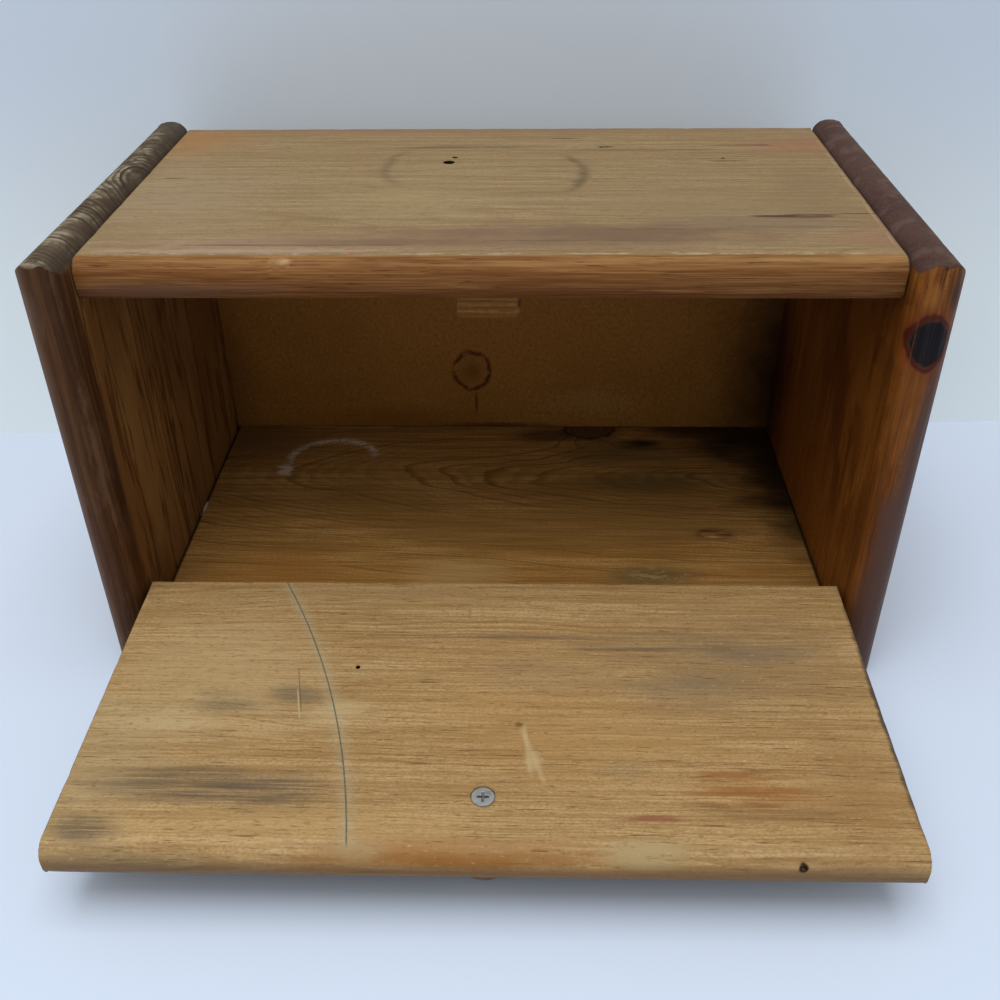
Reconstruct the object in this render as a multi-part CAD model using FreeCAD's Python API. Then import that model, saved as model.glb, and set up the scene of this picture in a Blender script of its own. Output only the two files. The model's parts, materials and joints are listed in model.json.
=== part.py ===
"""Wooden bread box with a drop-down front flap, shown with the flap lowered.

X runs across the box, +Y to the back and +Z up, in millimetres. Every piece is
worked out from the middle of the case's front, at table level, and is then moved
so that the origin is the middle of the room that the box takes up on a table.
"""
import FreeCAD, Part
import os
from math import asin, atan2, cos, degrees, hypot, pi, radians, sin, sqrt, tan
from FreeCAD import Placement, Rotation, Vector

# ---- the case: planed boards, butted and nailed ----
case_width = 380.0          # over both sides
case_depth = 205.0          # front of the sides to their back edge
side_height = 219.0         # table to the crest of the sides
side_stock = 19.0           # thickness of the side boards
side_flat = 0.4             # left between the roundings of their front and top edges
side_ease = 2.0             # where the two mouldings meet at the front top corner
top_stock = 19.0            # thickness of the top board
top_drop = 4.5              # its upper face below the crest of the sides
top_setback = 15.0          # its front edge behind the front of the sides
top_round = 7.5             # moulding on both of its front arrises
floor_stock = 19.0          # thickness of the floor board
floor_level = 25.0          # inside floor above the table
floor_setback = 1.0         # its front edge behind the front of the sides
floor_ease = 2.0            # its front arrises

# ---- the back: a hardboard sheet tacked over the rear edges ----
panel_stock = 3.2
panel_margin = 1.0          # short of the sides' outer faces
panel_top_gap = 3.0         # below the top board's upper face

# ---- the flap: one board that turns on two pins near its lower edge ----
flap_stock = 19.0
mouth_gap = 11.0            # left open between the shut flap and the top board
flap_side_gap = 1.5         # running gap between each end and the side
pivot_setback = 7.5         # pin centre behind the front of the sides
pivot_rise = 11.5           # pin centre above the inside floor
pivot_inset = 9.5           # pin centre in from the hinge edge
heel_round = 8.0            # outer arris of the hinge edge, which turns over the floor
closed_lean = 7.0           # degrees that the shut flap leans back past upright

# ---- the stop under the top board, which the shut flap leans on ----
stop_width = 28.0
stop_overlap = 3.0          # how far it hangs past the shut flap's edge
stop_depth = 20.0
stop_corner = 2.5           # its two lower corners, seen from the front
stop_gap = 0.3              # left between the shut flap and the stop

# ---- the turned knob and its screw ----
knob_inset = 28.5           # knob centre in from the flap's free edge
knob_length = 23.5          # flap to the tip of its crowned end
knob_foot_radius = 8.0
knob_waist_radius = 6.0
knob_head_radius = 12.0
knob_waist = 8.5            # flap to the narrowest place
knob_round = 3.5            # radius of the head's edge
knob_crown = 12.0           # degrees that its end slopes up to the middle
knob_table_gap = 0.3        # under the knob, which carries the lowered flap
screw_radius = 2.0
screw_head_radius = 4.6
screw_head_depth = 2.7
screw_grip = 15.0           # how deep it goes into the knob
screw_sink = 0.2            # head below the flap's inner face
screw_point = 4.0           # length of its point
screw_tip_radius = 0.5
recess_length = 5.2         # cross recess in the head, tip to tip
recess_width = 1.2
recess_depth = 1.5
recess_narrowing = 0.5      # size at the bottom of the recess over that at its mouth

# ---- pins, nails, tacks and brads ----
pin_radius = 2.0
pin_grip = 21.0             # how deep it goes into the flap
pin_sink = 1.0              # outer end below the side's face
pin_chamfer = 0.4
pin_play = 0.06             # radial, in the flap's bore
bore_extra = 1.5            # bore deeper than the pin reaches
nail_width = 2.4            # nails and brads are cut from sheet, so they are square
nail_length = 50.0
nail_head_width = 3.8
nail_head_depth = 1.6
nail_inset = 28.0           # first and last nail from the ends of a row
nails_per_row = 3
tack_width = 1.6            # under the head; the shank tapers all the way
tack_length = 14.0
tack_head_radius = 2.6      # to the corners of its hammered, eight-sided head
tack_head_sides = 8
tack_head_depth = 0.7
tack_inset = 22.0           # first and last tack from the ends of a row
tacks_per_side = 4
tacks_per_board = 3
brad_width = 1.5
brad_head_width = 2.2
brad_head_depth = 0.8
brad_grip = 10.0            # how deep it goes into the top board
brad_spacing = 14.0
nail_point = 3.0            # length of a nail's point over the width of its shank
blunting = 0.3              # width of its tip over that of its shank
tight_fit = 0.02            # radial room round anything driven into wood

# ---- lines and levels that follow from the sizes above ----
side_round = (side_stock - side_flat) / 2
inner_x = case_width / 2 - side_stock
top_level = side_height - top_drop
ceiling = top_level - top_stock
floor_under = floor_level - floor_stock
panel_top = top_level - panel_top_gap
pivot_height = floor_level + pivot_rise
flap_half = flap_stock / 2
flap_width = 2 * (inner_x - flap_side_gap)
mouth_height = ceiling - mouth_gap - flap_half - pivot_height
nose_reach = mouth_height / cos(radians(closed_lean))
knob_reach = nose_reach + flap_half - knob_inset
stop_drop = mouth_gap + stop_overlap
screw_length = flap_stock + screw_grip
pin_length = side_stock - pin_sink + flap_side_gap + pin_grip
brad_length = stop_drop + brad_grip

UP = Vector(0, 0, 1)
DOWN = Vector(0, 0, -1)
ACROSS = Vector(1, 0, 0)
FORWARD = Vector(0, -1, 0)
PIVOT = Vector(0, pivot_setback, pivot_height)


def open_droop():
    """Angle below level, in radians, at which the lowered flap stands on its knob."""
    below_pin = flap_half + knob_length
    arm = hypot(knob_reach, below_pin)
    return asin((pivot_height - knob_table_gap) / arm) - atan2(below_pin, knob_reach)


def stop_front():
    """Front of the stop, where the shut flap's round edge comes to rest on it."""
    lean = radians(closed_lean)
    nose_y = pivot_setback + nose_reach * sin(lean)
    nose_z = pivot_height + nose_reach * cos(lean)
    rise = ceiling - stop_drop - nose_z
    return nose_y + sqrt((flap_half + stop_gap) ** 2 - rise ** 2)


def footprint_middle():
    """Middle, front to back, of the room that the box takes up with its flap down."""
    flap_end = pivot_setback - nose_reach * cos(open_droop()) - flap_half
    back_end = case_depth + panel_stock + tack_head_depth
    return (flap_end + back_end) / 2


# ---- helpers ----
def near(a, b):
    return abs(a - b) < 0.001


def spread(first, last, count):
    """Evenly spaced places from first to last."""
    step = (last - first) / (count - 1)
    return [first + step * i for i in range(count)]


def aimed(solid, point, direction):
    """Copy of a solid made along +Z, now starting at the point and facing the direction."""
    copy = solid.copy()
    copy.Placement = Placement(point, Rotation(UP, direction))
    return copy


def edges_along(solid, axis, wanted):
    """Edges parallel to the axis whose middle passes the test."""
    found = []
    for edge in solid.Edges:
        direction = edge.tangentAt(edge.FirstParameter)
        if abs(direction.dot(axis)) > 0.999 and wanted(edge.CenterOfMass):
            found.append(edge)
    return found


def cut_all(solid, tools):
    return solid.cut(Part.makeCompound(tools))


def save(node, solids):
    """Write one node, as a single solid or as a group of separate ones."""
    shape = solids[0] if len(solids) == 1 else Part.makeCompound(solids)
    shape = shape.copy()
    shape.translate(Vector(0, -footprint_middle(), 0))
    shape.exportStep("parts/" + node + ".step")
    print(node, len(solids), "solid(s)", round(shape.Volume), "mm3")


# ---- fasteners, each made along +Z with the face of its head at the origin ----
def square_bar(width, length):
    return Part.makeBox(width, width, length, Vector(-width / 2, -width / 2, 0))


def tapered_bar(length, width, narrowing, start, end):
    """A bar between two heights, whose section is narrowed by a factor at its end."""
    x = length / 2
    y = width / 2
    bar = Part.makeWedge(-x, start, -y, -y * narrowing, -x * narrowing,
                         x, end, y, y * narrowing, x * narrowing)
    bar.rotate(Vector(0, 0, 0), ACROSS, 90)
    return bar


def cut_nail(width, length, head_width, head_depth, room):
    """A square nail with a blunt point, or with some room the hole that it fills."""
    point_start = length - nail_point * width
    thick = width + 2 * room
    head = square_bar(head_width + 2 * room, head_depth)
    shank = square_bar(thick, point_start)
    point = tapered_bar(thick, thick, blunting, point_start, length + room)
    return head.fuse([shank, point]).removeSplitter()


def nail(room=0.0):
    return cut_nail(nail_width, nail_length, nail_head_width, nail_head_depth, room)


def brad(room=0.0):
    return cut_nail(brad_width, brad_length, brad_head_width, brad_head_depth, room)


def tack(room=0.0):
    """A cut tack, or with some room the hole that it fills."""
    turns = [radians(360 * i / tack_head_sides) for i in range(tack_head_sides + 1)]
    corners = [Vector(tack_head_radius * cos(a), tack_head_radius * sin(a), 0) for a in turns]
    head = Part.Face(Part.makePolygon(corners)).extrude(UP * tack_head_depth)
    thick = tack_width + 2 * room
    shank = tapered_bar(thick, thick, blunting, tack_head_depth, tack_length + room)
    return head.fuse(shank).removeSplitter()


def pin():
    """The steel pivot pin, chamfered at both ends."""
    blank = Part.makeCylinder(pin_radius, pin_length)
    rims = [edge for edge in blank.Edges if edge.Closed]
    return blank.makeChamfer(pin_chamfer, rims)


def countersunk(room=0.0):
    """The knob's screw without its recess, or with some room the hole for it."""
    thick = screw_radius + room
    point_start = screw_length - screw_point + room
    head = Part.makeCone(screw_head_radius + room, thick, screw_head_depth)
    shank = Part.makeCylinder(thick, point_start)
    point = Part.makeCone(thick, screw_tip_radius, screw_point, UP * point_start)
    return head.fuse([shank, point]).removeSplitter()


def cross_recess():
    """Two crossed slots that narrow towards the bottom of the recess."""
    slot = tapered_bar(recess_length, recess_width, recess_narrowing, 0, recess_depth)
    crossing = slot.copy()
    crossing.rotate(Vector(0, 0, 0), UP, 90)
    return slot.fuse(crossing)


# ---- where the fasteners go: lists of (point, direction) ----
def side_nails(setback, height, hand):
    """A row of nails through one side into the end of a board."""
    rows = spread(setback + nail_inset, case_depth - nail_inset, nails_per_row)
    return [(Vector(hand * case_width / 2, y, height), ACROSS * -hand) for y in rows]


def top_nails(hand):
    return side_nails(top_setback, ceiling + top_stock / 2, hand)


def floor_nails(hand):
    return side_nails(floor_setback, floor_level - floor_stock / 2, hand)


def panel_tacks():
    """Tacks round the edge of the back panel, into the sides and both boards."""
    face = case_depth + panel_stock + tack_head_depth
    side_x = case_width / 2 - side_stock / 2
    board_x = inner_x - tack_inset
    places = []
    for height in spread(floor_under + tack_inset, panel_top - tack_inset, tacks_per_side):
        places += [Vector(-side_x, face, height), Vector(side_x, face, height)]
    for height in (floor_level - floor_stock / 2, ceiling + top_stock / 2):
        places += [Vector(x, face, height) for x in spread(-board_x, board_x, tacks_per_board)]
    return [(place, FORWARD) for place in places]


def stop_brads():
    """Brads up through the stop into the top board."""
    middle = stop_front() + stop_depth / 2
    under = ceiling - stop_drop
    return [(Vector(hand * brad_spacing / 2, middle, under), UP) for hand in (-1, 1)]


def driven(fastener, places):
    return [aimed(fastener, point, direction) for point, direction in places]


# ---- the case ----
def side(hand):
    """A side board, its front and top edges moulded, for hand -1 left or 1 right."""
    corner = Vector(inner_x, 0, 0)
    board = Part.makeBox(side_stock, case_depth, side_height, corner)
    moulded = edges_along(board, UP, lambda middle: near(middle.y, 0))
    moulded += edges_along(board, FORWARD, lambda middle: near(middle.z, side_height))
    board = board.makeFillet(side_round, moulded)
    meeting = [edge for edge in board.Edges
               if edge.CenterOfMass.y < side_round / 2
               and edge.CenterOfMass.z > side_height - side_round / 2]
    board = board.makeFillet(side_ease, meeting)
    if hand < 0:
        board = board.mirror(Vector(0, 0, 0), ACROSS)
    pin_hole = Part.makeCylinder(pin_radius + tight_fit, side_stock,
                                 PIVOT + ACROSS * (hand * case_width / 2), ACROSS * -hand)
    holes = driven(nail(tight_fit), top_nails(hand) + floor_nails(hand))
    holes += driven(tack(tight_fit), panel_tacks())
    return cut_all(board, holes + [pin_hole])


def top_board():
    """The top, set down between the sides, with a moulded front edge."""
    board = Part.makeBox(2 * inner_x, case_depth - top_setback, top_stock,
                         Vector(-inner_x, top_setback, ceiling))
    front = edges_along(board, ACROSS, lambda middle: near(middle.y, top_setback))
    board = board.makeFillet(top_round, front)
    holes = driven(nail(tight_fit), top_nails(-1) + top_nails(1))
    holes += driven(tack(tight_fit), panel_tacks())
    holes += driven(brad(tight_fit), stop_brads())
    return cut_all(board, holes)


def floor_board():
    """The floor, raised clear of the table, whose front strip lies under the flap."""
    board = Part.makeBox(2 * inner_x, case_depth - floor_setback, floor_stock,
                         Vector(-inner_x, floor_setback, floor_under))
    front = edges_along(board, ACROSS, lambda middle: near(middle.y, floor_setback))
    board = board.makeFillet(floor_ease, front)
    holes = driven(nail(tight_fit), floor_nails(-1) + floor_nails(1))
    holes += driven(tack(tight_fit), panel_tacks())
    return cut_all(board, holes)


def back_panel():
    """The hardboard sheet over the back edges of all four boards."""
    half = case_width / 2 - panel_margin
    sheet = Part.makeBox(2 * half, panel_stock, panel_top - floor_under,
                         Vector(-half, case_depth, floor_under))
    return cut_all(sheet, driven(tack(tight_fit), panel_tacks()))


def door_stop():
    """The block under the top board's front that the shut flap leans on."""
    block = Part.makeBox(stop_width, stop_depth, stop_drop,
                         Vector(-stop_width / 2, stop_front(), ceiling - stop_drop))
    corners = edges_along(block, FORWARD, lambda middle: near(middle.z, ceiling - stop_drop))
    block = block.makeFillet(stop_corner, corners)
    return cut_all(block, driven(brad(tight_fit), stop_brads()))


def pivot_pin(hand):
    """A pin through one side, its inner end in the flap."""
    start = PIVOT + ACROSS * (hand * (case_width / 2 - pin_sink))
    return aimed(pin(), start, ACROSS * -hand)


# ---- the flap, made level about its pins, free edge forward, inner face up ----
def lowered(solid):
    """Turn a piece of the level flap down on to its knob and carry it to the pins."""
    turned = solid.copy()
    turned.rotate(Vector(0, 0, 0), ACROSS, degrees(open_droop()))
    turned.translate(PIVOT)
    return turned


def flap_outline():
    """Section through the flap: round nose, flat faces and a round heel."""
    heel_y = pivot_inset - heel_round
    heel_z = heel_round - flap_half
    heel_mid = heel_round * sqrt(0.5)
    back_top = Vector(0, pivot_inset, flap_half)
    nose_top = Vector(0, -nose_reach, flap_half)
    nose_tip = Vector(0, -nose_reach - flap_half, 0)
    nose_under = Vector(0, -nose_reach, -flap_half)
    heel_under = Vector(0, heel_y, -flap_half)
    heel_middle = Vector(0, heel_y + heel_mid, heel_z - heel_mid)
    heel_back = Vector(0, pivot_inset, heel_z)
    return Part.Wire([
        Part.makeLine(back_top, nose_top),
        Part.Arc(nose_top, nose_tip, nose_under).toShape(),
        Part.makeLine(nose_under, heel_under),
        Part.Arc(heel_under, heel_middle, heel_back).toShape(),
        Part.makeLine(heel_back, back_top),
    ])


def flap():
    """The flap board, bored at both ends for the pins and through for the screw."""
    board = Part.Face(flap_outline()).extrude(ACROSS * flap_width)
    board.translate(ACROSS * (-flap_width / 2))
    holes = []
    for hand in (-1, 1):
        end = ACROSS * (hand * flap_width / 2)
        holes.append(Part.makeCylinder(pin_radius + pin_play, pin_grip + bore_extra, end,
                                       ACROSS * -hand))
    sink = Part.makeCylinder(screw_head_radius + tight_fit, screw_sink, screw_face(), DOWN)
    sink.translate(UP * screw_sink)
    holes += [sink, aimed(countersunk(tight_fit), screw_face(), DOWN)]
    return cut_all(board, holes)


def screw_face():
    """Middle of the screw's head, just below the flap's inner face."""
    return Vector(0, -knob_reach, flap_half - screw_sink)


def knob_screw():
    blank = countersunk().cut(cross_recess())
    return aimed(blank, screw_face(), DOWN)


def flap_knob():
    """The turned knob on the outer face: tapered neck, flared head with a round edge."""
    slope = radians(knob_crown)
    round_x = knob_head_radius - knob_round
    rim_x = round_x + knob_round * sin(slope)
    rim_z = knob_length - rim_x * tan(slope)
    round_z = rim_z - knob_round * cos(slope)
    half_turn = (pi / 2 - slope) / 2
    centre = Vector(0, 0, 0)
    foot = Vector(knob_foot_radius, 0, 0)
    waist = Vector(knob_waist_radius, 0, knob_waist)
    widest = Vector(knob_head_radius, 0, round_z)
    shoulder = Vector(round_x + knob_round * cos(half_turn), 0,
                      round_z + knob_round * sin(half_turn))
    rim = Vector(rim_x, 0, rim_z)
    end = Vector(0, 0, knob_length)
    outline = Part.Wire([
        Part.makeLine(centre, foot),
        Part.makeLine(foot, waist),
        Part.makeLine(waist, widest),
        Part.Arc(widest, shoulder, rim).toShape(),
        Part.makeLine(rim, end),
        Part.makeLine(end, centre),
    ])
    turned = Part.Face(outline).revolve(centre, UP, 360)
    knob = aimed(turned, Vector(0, -knob_reach, -flap_half), DOWN)
    return knob.cut(aimed(countersunk(tight_fit), screw_face(), DOWN))


# ---- build and write every node ----
os.makedirs("parts", exist_ok=True)
save("left_side", [side(-1)])
save("right_side", [side(1)])
save("top_board", [top_board()])
save("floor_board", [floor_board()])
save("back_panel", [back_panel()])
save("door_stop", [door_stop()])
save("left_pivot_pin", [pivot_pin(-1)])
save("right_pivot_pin", [pivot_pin(1)])
save("top_board_nails", driven(nail(), top_nails(-1) + top_nails(1)))
save("floor_board_nails", driven(nail(), floor_nails(-1) + floor_nails(1)))
save("back_panel_tacks", driven(tack(), panel_tacks()))
save("door_stop_brads", driven(brad(), stop_brads()))
save("flap_board", [lowered(flap())])
save("flap_knob", [lowered(flap_knob())])
save("knob_screw", [lowered(knob_screw())])

travel = 90 + degrees(open_droop()) + closed_lean
print("pin line, back from the origin and up:",
      round(pivot_setback - footprint_middle(), 3), pivot_height)
print("front of the sides from the origin:", round(-footprint_middle(), 3))
print("flap lies", round(degrees(open_droop()), 3), "degrees below level and turns",
      round(travel, 3), "degrees to shut")
print("front of the stop from the front of the sides:", round(stop_front(), 3))
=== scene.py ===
# %% [markdown]
# # A worn pine bread box with a drop-down flap
# Two moulded side boards stand on the table. A top board, a raised floor and a hardboard
# back are nailed between and behind them. The flap turns on two steel pins, and a small
# block under the top stops it. The packed model gives every size and place; here each
# board gets the soft arrises, dents, grain and stains of a long life in a kitchen.

# %% Load the frame
import bpy
import json
import numpy as np
from math import atan2, cos, degrees, hypot, pi, radians, sin
from mathutils import Matrix, Vector, noise


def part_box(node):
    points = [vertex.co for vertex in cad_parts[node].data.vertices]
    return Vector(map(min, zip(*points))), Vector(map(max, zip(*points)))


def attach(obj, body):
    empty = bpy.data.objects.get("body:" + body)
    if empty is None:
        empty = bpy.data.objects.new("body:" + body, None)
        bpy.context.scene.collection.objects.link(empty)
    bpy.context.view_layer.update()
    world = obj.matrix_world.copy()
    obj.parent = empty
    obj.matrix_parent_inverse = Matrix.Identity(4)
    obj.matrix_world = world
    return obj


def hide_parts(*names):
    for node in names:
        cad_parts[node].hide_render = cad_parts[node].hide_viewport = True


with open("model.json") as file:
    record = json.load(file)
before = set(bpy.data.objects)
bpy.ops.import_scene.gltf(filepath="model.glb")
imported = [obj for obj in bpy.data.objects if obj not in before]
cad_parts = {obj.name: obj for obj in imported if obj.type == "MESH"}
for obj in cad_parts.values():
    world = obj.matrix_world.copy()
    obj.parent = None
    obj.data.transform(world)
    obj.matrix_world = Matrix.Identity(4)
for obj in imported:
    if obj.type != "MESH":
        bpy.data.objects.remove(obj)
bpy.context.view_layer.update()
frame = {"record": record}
MM = 0.001

# %% [markdown]
# ## Planks made of small quads
# A sawn board is a plain box, but a box has too few points to be worn or dented. A
# subdivided cube would have enough of them, spread evenly and mostly where nothing
# happens. Each board is therefore a box whose six faces are grids, with lines that lie
# close together near the ends, where arrises get rounded, and further apart between.

# %% Rule the lines and build a plank
EDGE_LINES = 8              # close lines at each end of a board
print("close lines at each end of a board:", EDGE_LINES)


def rulings(low, high, step, fine):
    """Even grid lines between two ends, with close ones within the fine distance of each."""
    edge = np.linspace(0, fine, EDGE_LINES + 1)[:-1]
    count = max(2, round((high - low - 2 * fine) / step) + 1)
    middle = np.linspace(low + fine, high - fine, count)
    return np.concatenate([low + edge, middle, (high - edge)[::-1]])


def plank(low, high, step, fine):
    """Points and quads of a box between two corners, gridded on all six faces."""
    lines = [rulings(low[a], high[a], step, fine[a]) for a in range(3)]
    index, points, quads = {}, [], []

    def at(place):
        if place not in index:
            index[place] = len(points)
            points.append([lines[a][place[a]] for a in range(3)])
        return index[place]

    for axis in range(3):
        u, v = [a for a in range(3) if a != axis]
        for end in (0, len(lines[axis]) - 1):
            outward = (end > 0) != (axis == 1)
            for i in range(len(lines[u]) - 1):
                for j in range(len(lines[v]) - 1):
                    ring = []
                    for du, dv in ((0, 0), (1, 0), (1, 1), (0, 1)):
                        place = [end, end, end]
                        place[u] = i + du
                        place[v] = j + dv
                        ring.append(at(tuple(place)))
                    quads.append(ring if outward else ring[::-1])
    return np.array(points), quads


# %% [markdown]
# ## Rounding an arris
# A router bit or a plane takes the corner off as an arc. A bevel modifier could do the
# same, but its new faces would not follow the grid. Here every point that stands outside
# the arc is drawn straight towards its centre, so the round is exact and the quads stay.

# %% Round one arris
def round_over(points, low, high, along, ends, radius):
    """Round the arris that runs on one axis, at the given ends (-1 or 1) of the others."""
    u, v = [a for a in range(3) if a != along]
    centre = []
    for axis, end in ((u, ends[0]), (v, ends[1])):
        centre.append(high[axis] - radius if end > 0 else low[axis] + radius)
    du = (points[:, u] - centre[0]) * ends[0]
    dv = (points[:, v] - centre[1]) * ends[1]
    reach = np.hypot(du, dv)
    outside = (du > 0) & (dv > 0) & (reach > radius)
    pull = np.where(outside, radius / np.maximum(reach, 1e-9), 1)
    points[outside, u] = (centre[0] + ends[0] * du * pull)[outside]
    points[outside, v] = (centre[1] + ends[1] * dv * pull)[outside]


corner = np.array([[0.0, 1.0, 1.0]])
round_over(corner, (0, 0, 0), (1, 1, 1), 0, (1, 1), 0.5)
print("a corner at 1, 1 that is rounded by 0.5 moves to", corner[0, 1:].round(3))


# %% [markdown]
# ## Wear
# Use rubs the arrises first and leaves the faces slightly uneven. A displace modifier
# would do it without code, but it moves every point by the same rule. Here the arrises
# lose more than the faces, and always inwards, because wood is only ever lost. How close
# each point is to an arris is kept as the attribute `rim`, for the finishes to use.

# %% Wear a board and cut it loose as an object
SKIN = 0.05 * MM            # lost everywhere, so that nail heads stand just proud
HOLLOW = 0.18 * MM          # slow unevenness of the faces
HOLLOW_WIDTH = 60 * MM
NICK = 0.5 * MM             # bites out of the arrises
NICK_WIDTH = 9 * MM
NICK_LEVEL = 0.56           # noise above this level bites
NICK_GAIN = 2.6
RUB = 0.15                  # share of a nick that is lost all along an arris
RIM_REACH = 9 * MM          # how far from an arris the wear fades out
print("deepest wear on a face:", round((SKIN + HOLLOW) / MM, 2), "mm")


def closeness(points, low, high):
    """1 on the arrises of the sawn box and 0 further away than RIM_REACH."""
    gaps = np.minimum(points - np.array(low), np.array(high) - points)
    return np.clip(1 - np.sort(gaps, axis=1)[:, 1] / RIM_REACH, 0, 1)


def roughened(place, size, seed):
    """Smooth noise from 0 to 1 whose lumps are about the given size in metres."""
    return 0.5 + 0.5 * noise.noise(Vector(place) / size + Vector((seed, 2 * seed, 3 * seed)))


def wear(mesh, rim, seed, nick=NICK):
    """Push the surface in, a little on the faces and more in bites along the arrises."""
    normals = [vertex.normal.copy() for vertex in mesh.vertices]
    places = [vertex.co.copy() for vertex in mesh.vertices]
    for vertex, place, normal, near in zip(mesh.vertices, places, normals, rim):
        loss = SKIN + HOLLOW * roughened(place, HOLLOW_WIDTH, seed)
        bite = max(0.0, roughened(place, NICK_WIDTH, seed + 5) - NICK_LEVEL)
        loss += nick * near ** 3 * (RUB + NICK_GAIN * bite)
        vertex.co = place - normal * loss


def cut_loose(name, points, quads, rim):
    """An object from points and quads, smooth shaded, with its rim attribute."""
    mesh = bpy.data.meshes.new(name)
    mesh.from_pydata([tuple(p) for p in points], [], quads)
    mesh.attributes.new("rim", "FLOAT", "POINT").data.foreach_set("value", rim)
    mesh.shade_smooth()
    piece = bpy.data.objects.new(name, mesh)
    bpy.context.scene.collection.objects.link(piece)
    return piece


def board(name, low, high, rounds, fine, seed, step=3.4 * MM, ease=0.7 * MM, nick=NICK):
    """A worn board between two corners. rounds holds (along, ends, radius) of each arris."""
    points, quads = plank(low, high, step, fine)
    rim = closeness(points, low, high)
    shaped = []
    for along, ends, radius in rounds:
        round_over(points, low, high, along, ends, radius)
        shaped.append((along, ends))
    for along in range(3):
        for ends in ((-1, -1), (-1, 1), (1, -1), (1, 1)):
            if (along, ends) not in shaped:
                round_over(points, low, high, along, ends, ease)
    piece = cut_loose(name, points, quads, rim)
    wear(piece.data, rim, seed, nick)
    for vertex in piece.data.vertices:      # nothing may stand out of the sawn box
        vertex.co = np.clip(vertex.co, low, high)
    print(name, len(quads), "quads")
    return piece


# %% [markdown]
# ## Holes and dents
# Nail holes, the pins' bores and the seat of the knob's screw are real openings. A dark
# spot in the finish would pass from far off, but not up close, so they are cut with a
# boolean. The edges it makes are marked sharp, or the shading would smear across the
# rim of each hole. Chips are shallow scoops, made by pushing the near points in.

# %% Bore holes and scoop chips
SHARP = radians(50)         # an edge that turns further than this is shaded as sharp
CHIP_GRAIN = 3 * MM         # size of the lumps that make a chip ragged
print("edges are sharp past", round(degrees(SHARP)), "degrees")
def rod(centre, direction, radius, depth, sides=20):
    """Points and faces of a short rod centred on a surface point, along a direction."""
    turn = Vector(direction).to_track_quat("Z", "Y").to_matrix()
    points = []
    for end in (-depth, depth):
        for i in range(sides):
            angle = 2 * pi * i / sides
            arm = Vector((radius * cos(angle), radius * sin(angle), end))
            points.append(Vector(centre) + turn @ arm)
    around = [[i, (i + 1) % sides, sides + (i + 1) % sides, sides + i] for i in range(sides)]
    return points, around + [list(range(sides))[::-1], list(range(sides, 2 * sides))]


def bore(piece, holes):
    """Cut (centre, direction, radius, depth) holes into a piece, in its own coordinates."""
    points, faces = [], []
    for hole in holes:
        more, sides = rod(*hole)
        faces += [[i + len(points) for i in face] for face in sides]
        points += more
    cutter_mesh = bpy.data.meshes.new("cutter")
    cutter_mesh.from_pydata([tuple(p) for p in points], [], faces)
    cutter = bpy.data.objects.new("cutter", cutter_mesh)
    bpy.context.scene.collection.objects.link(cutter)
    cutter.matrix_world = piece.matrix_world
    step = piece.modifiers.new("bore", "BOOLEAN")
    step.operation = "DIFFERENCE"
    step.solver = "EXACT"
    step.use_self = True
    step.object = cutter
    graph = bpy.context.evaluated_depsgraph_get()
    bored = bpy.data.meshes.new_from_object(piece.evaluated_get(graph))
    piece.modifiers.clear()
    piece.data = bored
    bored.set_sharp_from_angle(angle=SHARP)
    bpy.data.objects.remove(cutter)
    print(piece.name, "bored", len(holes), "hole(s)")


def scoop(piece, centre, radius, depth, direction):
    """Push the points near a place in along a direction, deepest in the middle."""
    for vertex in piece.data.vertices:
        away = (vertex.co - Vector(centre)).length / radius
        if away < 1:
            ragged = 0.7 + 0.6 * roughened(vertex.co, CHIP_GRAIN, 9)
            vertex.co += Vector(direction) * depth * ragged * (1 - away * away) ** 2


# %% [markdown]
# ## Shader groups
# Every finish is built from a few effects that wood shows again and again: growth rings,
# fibres, blotches, ring marks, drawn lines and rubbed edges. Image textures could hold
# them, but an image would not run on round the ends of a board, and a formula does.
# Each effect is one node group with named sockets. A small helper adds nodes and links,
# so that a recipe reads in order.

# %% Helpers for node trees
def add(tree, kind, inputs=(), **settings):
    """Add a node, set its properties, and fill its inputs with values or links."""
    node = tree.nodes.new("ShaderNode" + kind)
    for name, value in settings.items():
        setattr(node, name, value)
    for key, value in dict(inputs).items():
        if isinstance(value, bpy.types.NodeSocket):
            tree.links.new(value, node.inputs[key])
        else:
            node.inputs[key].default_value = value
    return node


def calc(tree, operation, first, second=0.0, third=0.0):
    """One step of arithmetic."""
    return add(tree, "Math", {0: first, 1: second, 2: third}, operation=operation).outputs[0]


def vector_calc(tree, operation, first, second=(0, 0, 0)):
    """One step of arithmetic on vectors."""
    return add(tree, "VectorMath", {0: first, 1: second}, operation=operation).outputs[0]


def length_of(tree, vector):
    """The length of a vector."""
    return add(tree, "VectorMath", {0: vector}, operation="LENGTH").outputs["Value"]


def scaled(tree, vector, factor):
    """A vector times one number."""
    inputs = {0: vector, "Scale": factor}
    return add(tree, "VectorMath", inputs, operation="SCALE").outputs[0]


print("arithmetic nodes are one call each")

# %% [markdown]
# ## Fades, clouds and empty groups
# A mask is a number from 0 to 1. Most masks here are a place, a direction or a noise, put
# through a smooth step. A colour ramp would do, but its stops can't be linked, and here
# the ends of the step are often another node's value.

# %% Helpers for masks and groups
def fade(tree, value, start, end):
    """Smooth step from 0 at start to 1 at end."""
    ramp = {"Value": value, "From Min": start, "From Max": end}
    return add(tree, "MapRange", ramp, interpolation_type="SMOOTHSTEP").outputs["Result"]


def cloud(tree, vector, scale, detail=2.0, rough=0.5):
    """Noise, as its value and its colour."""
    inputs = {"Vector": vector, "Scale": scale, "Detail": detail, "Roughness": rough}
    node = add(tree, "TexNoise", inputs)
    return node.outputs["Fac"], node.outputs["Color"]


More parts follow.
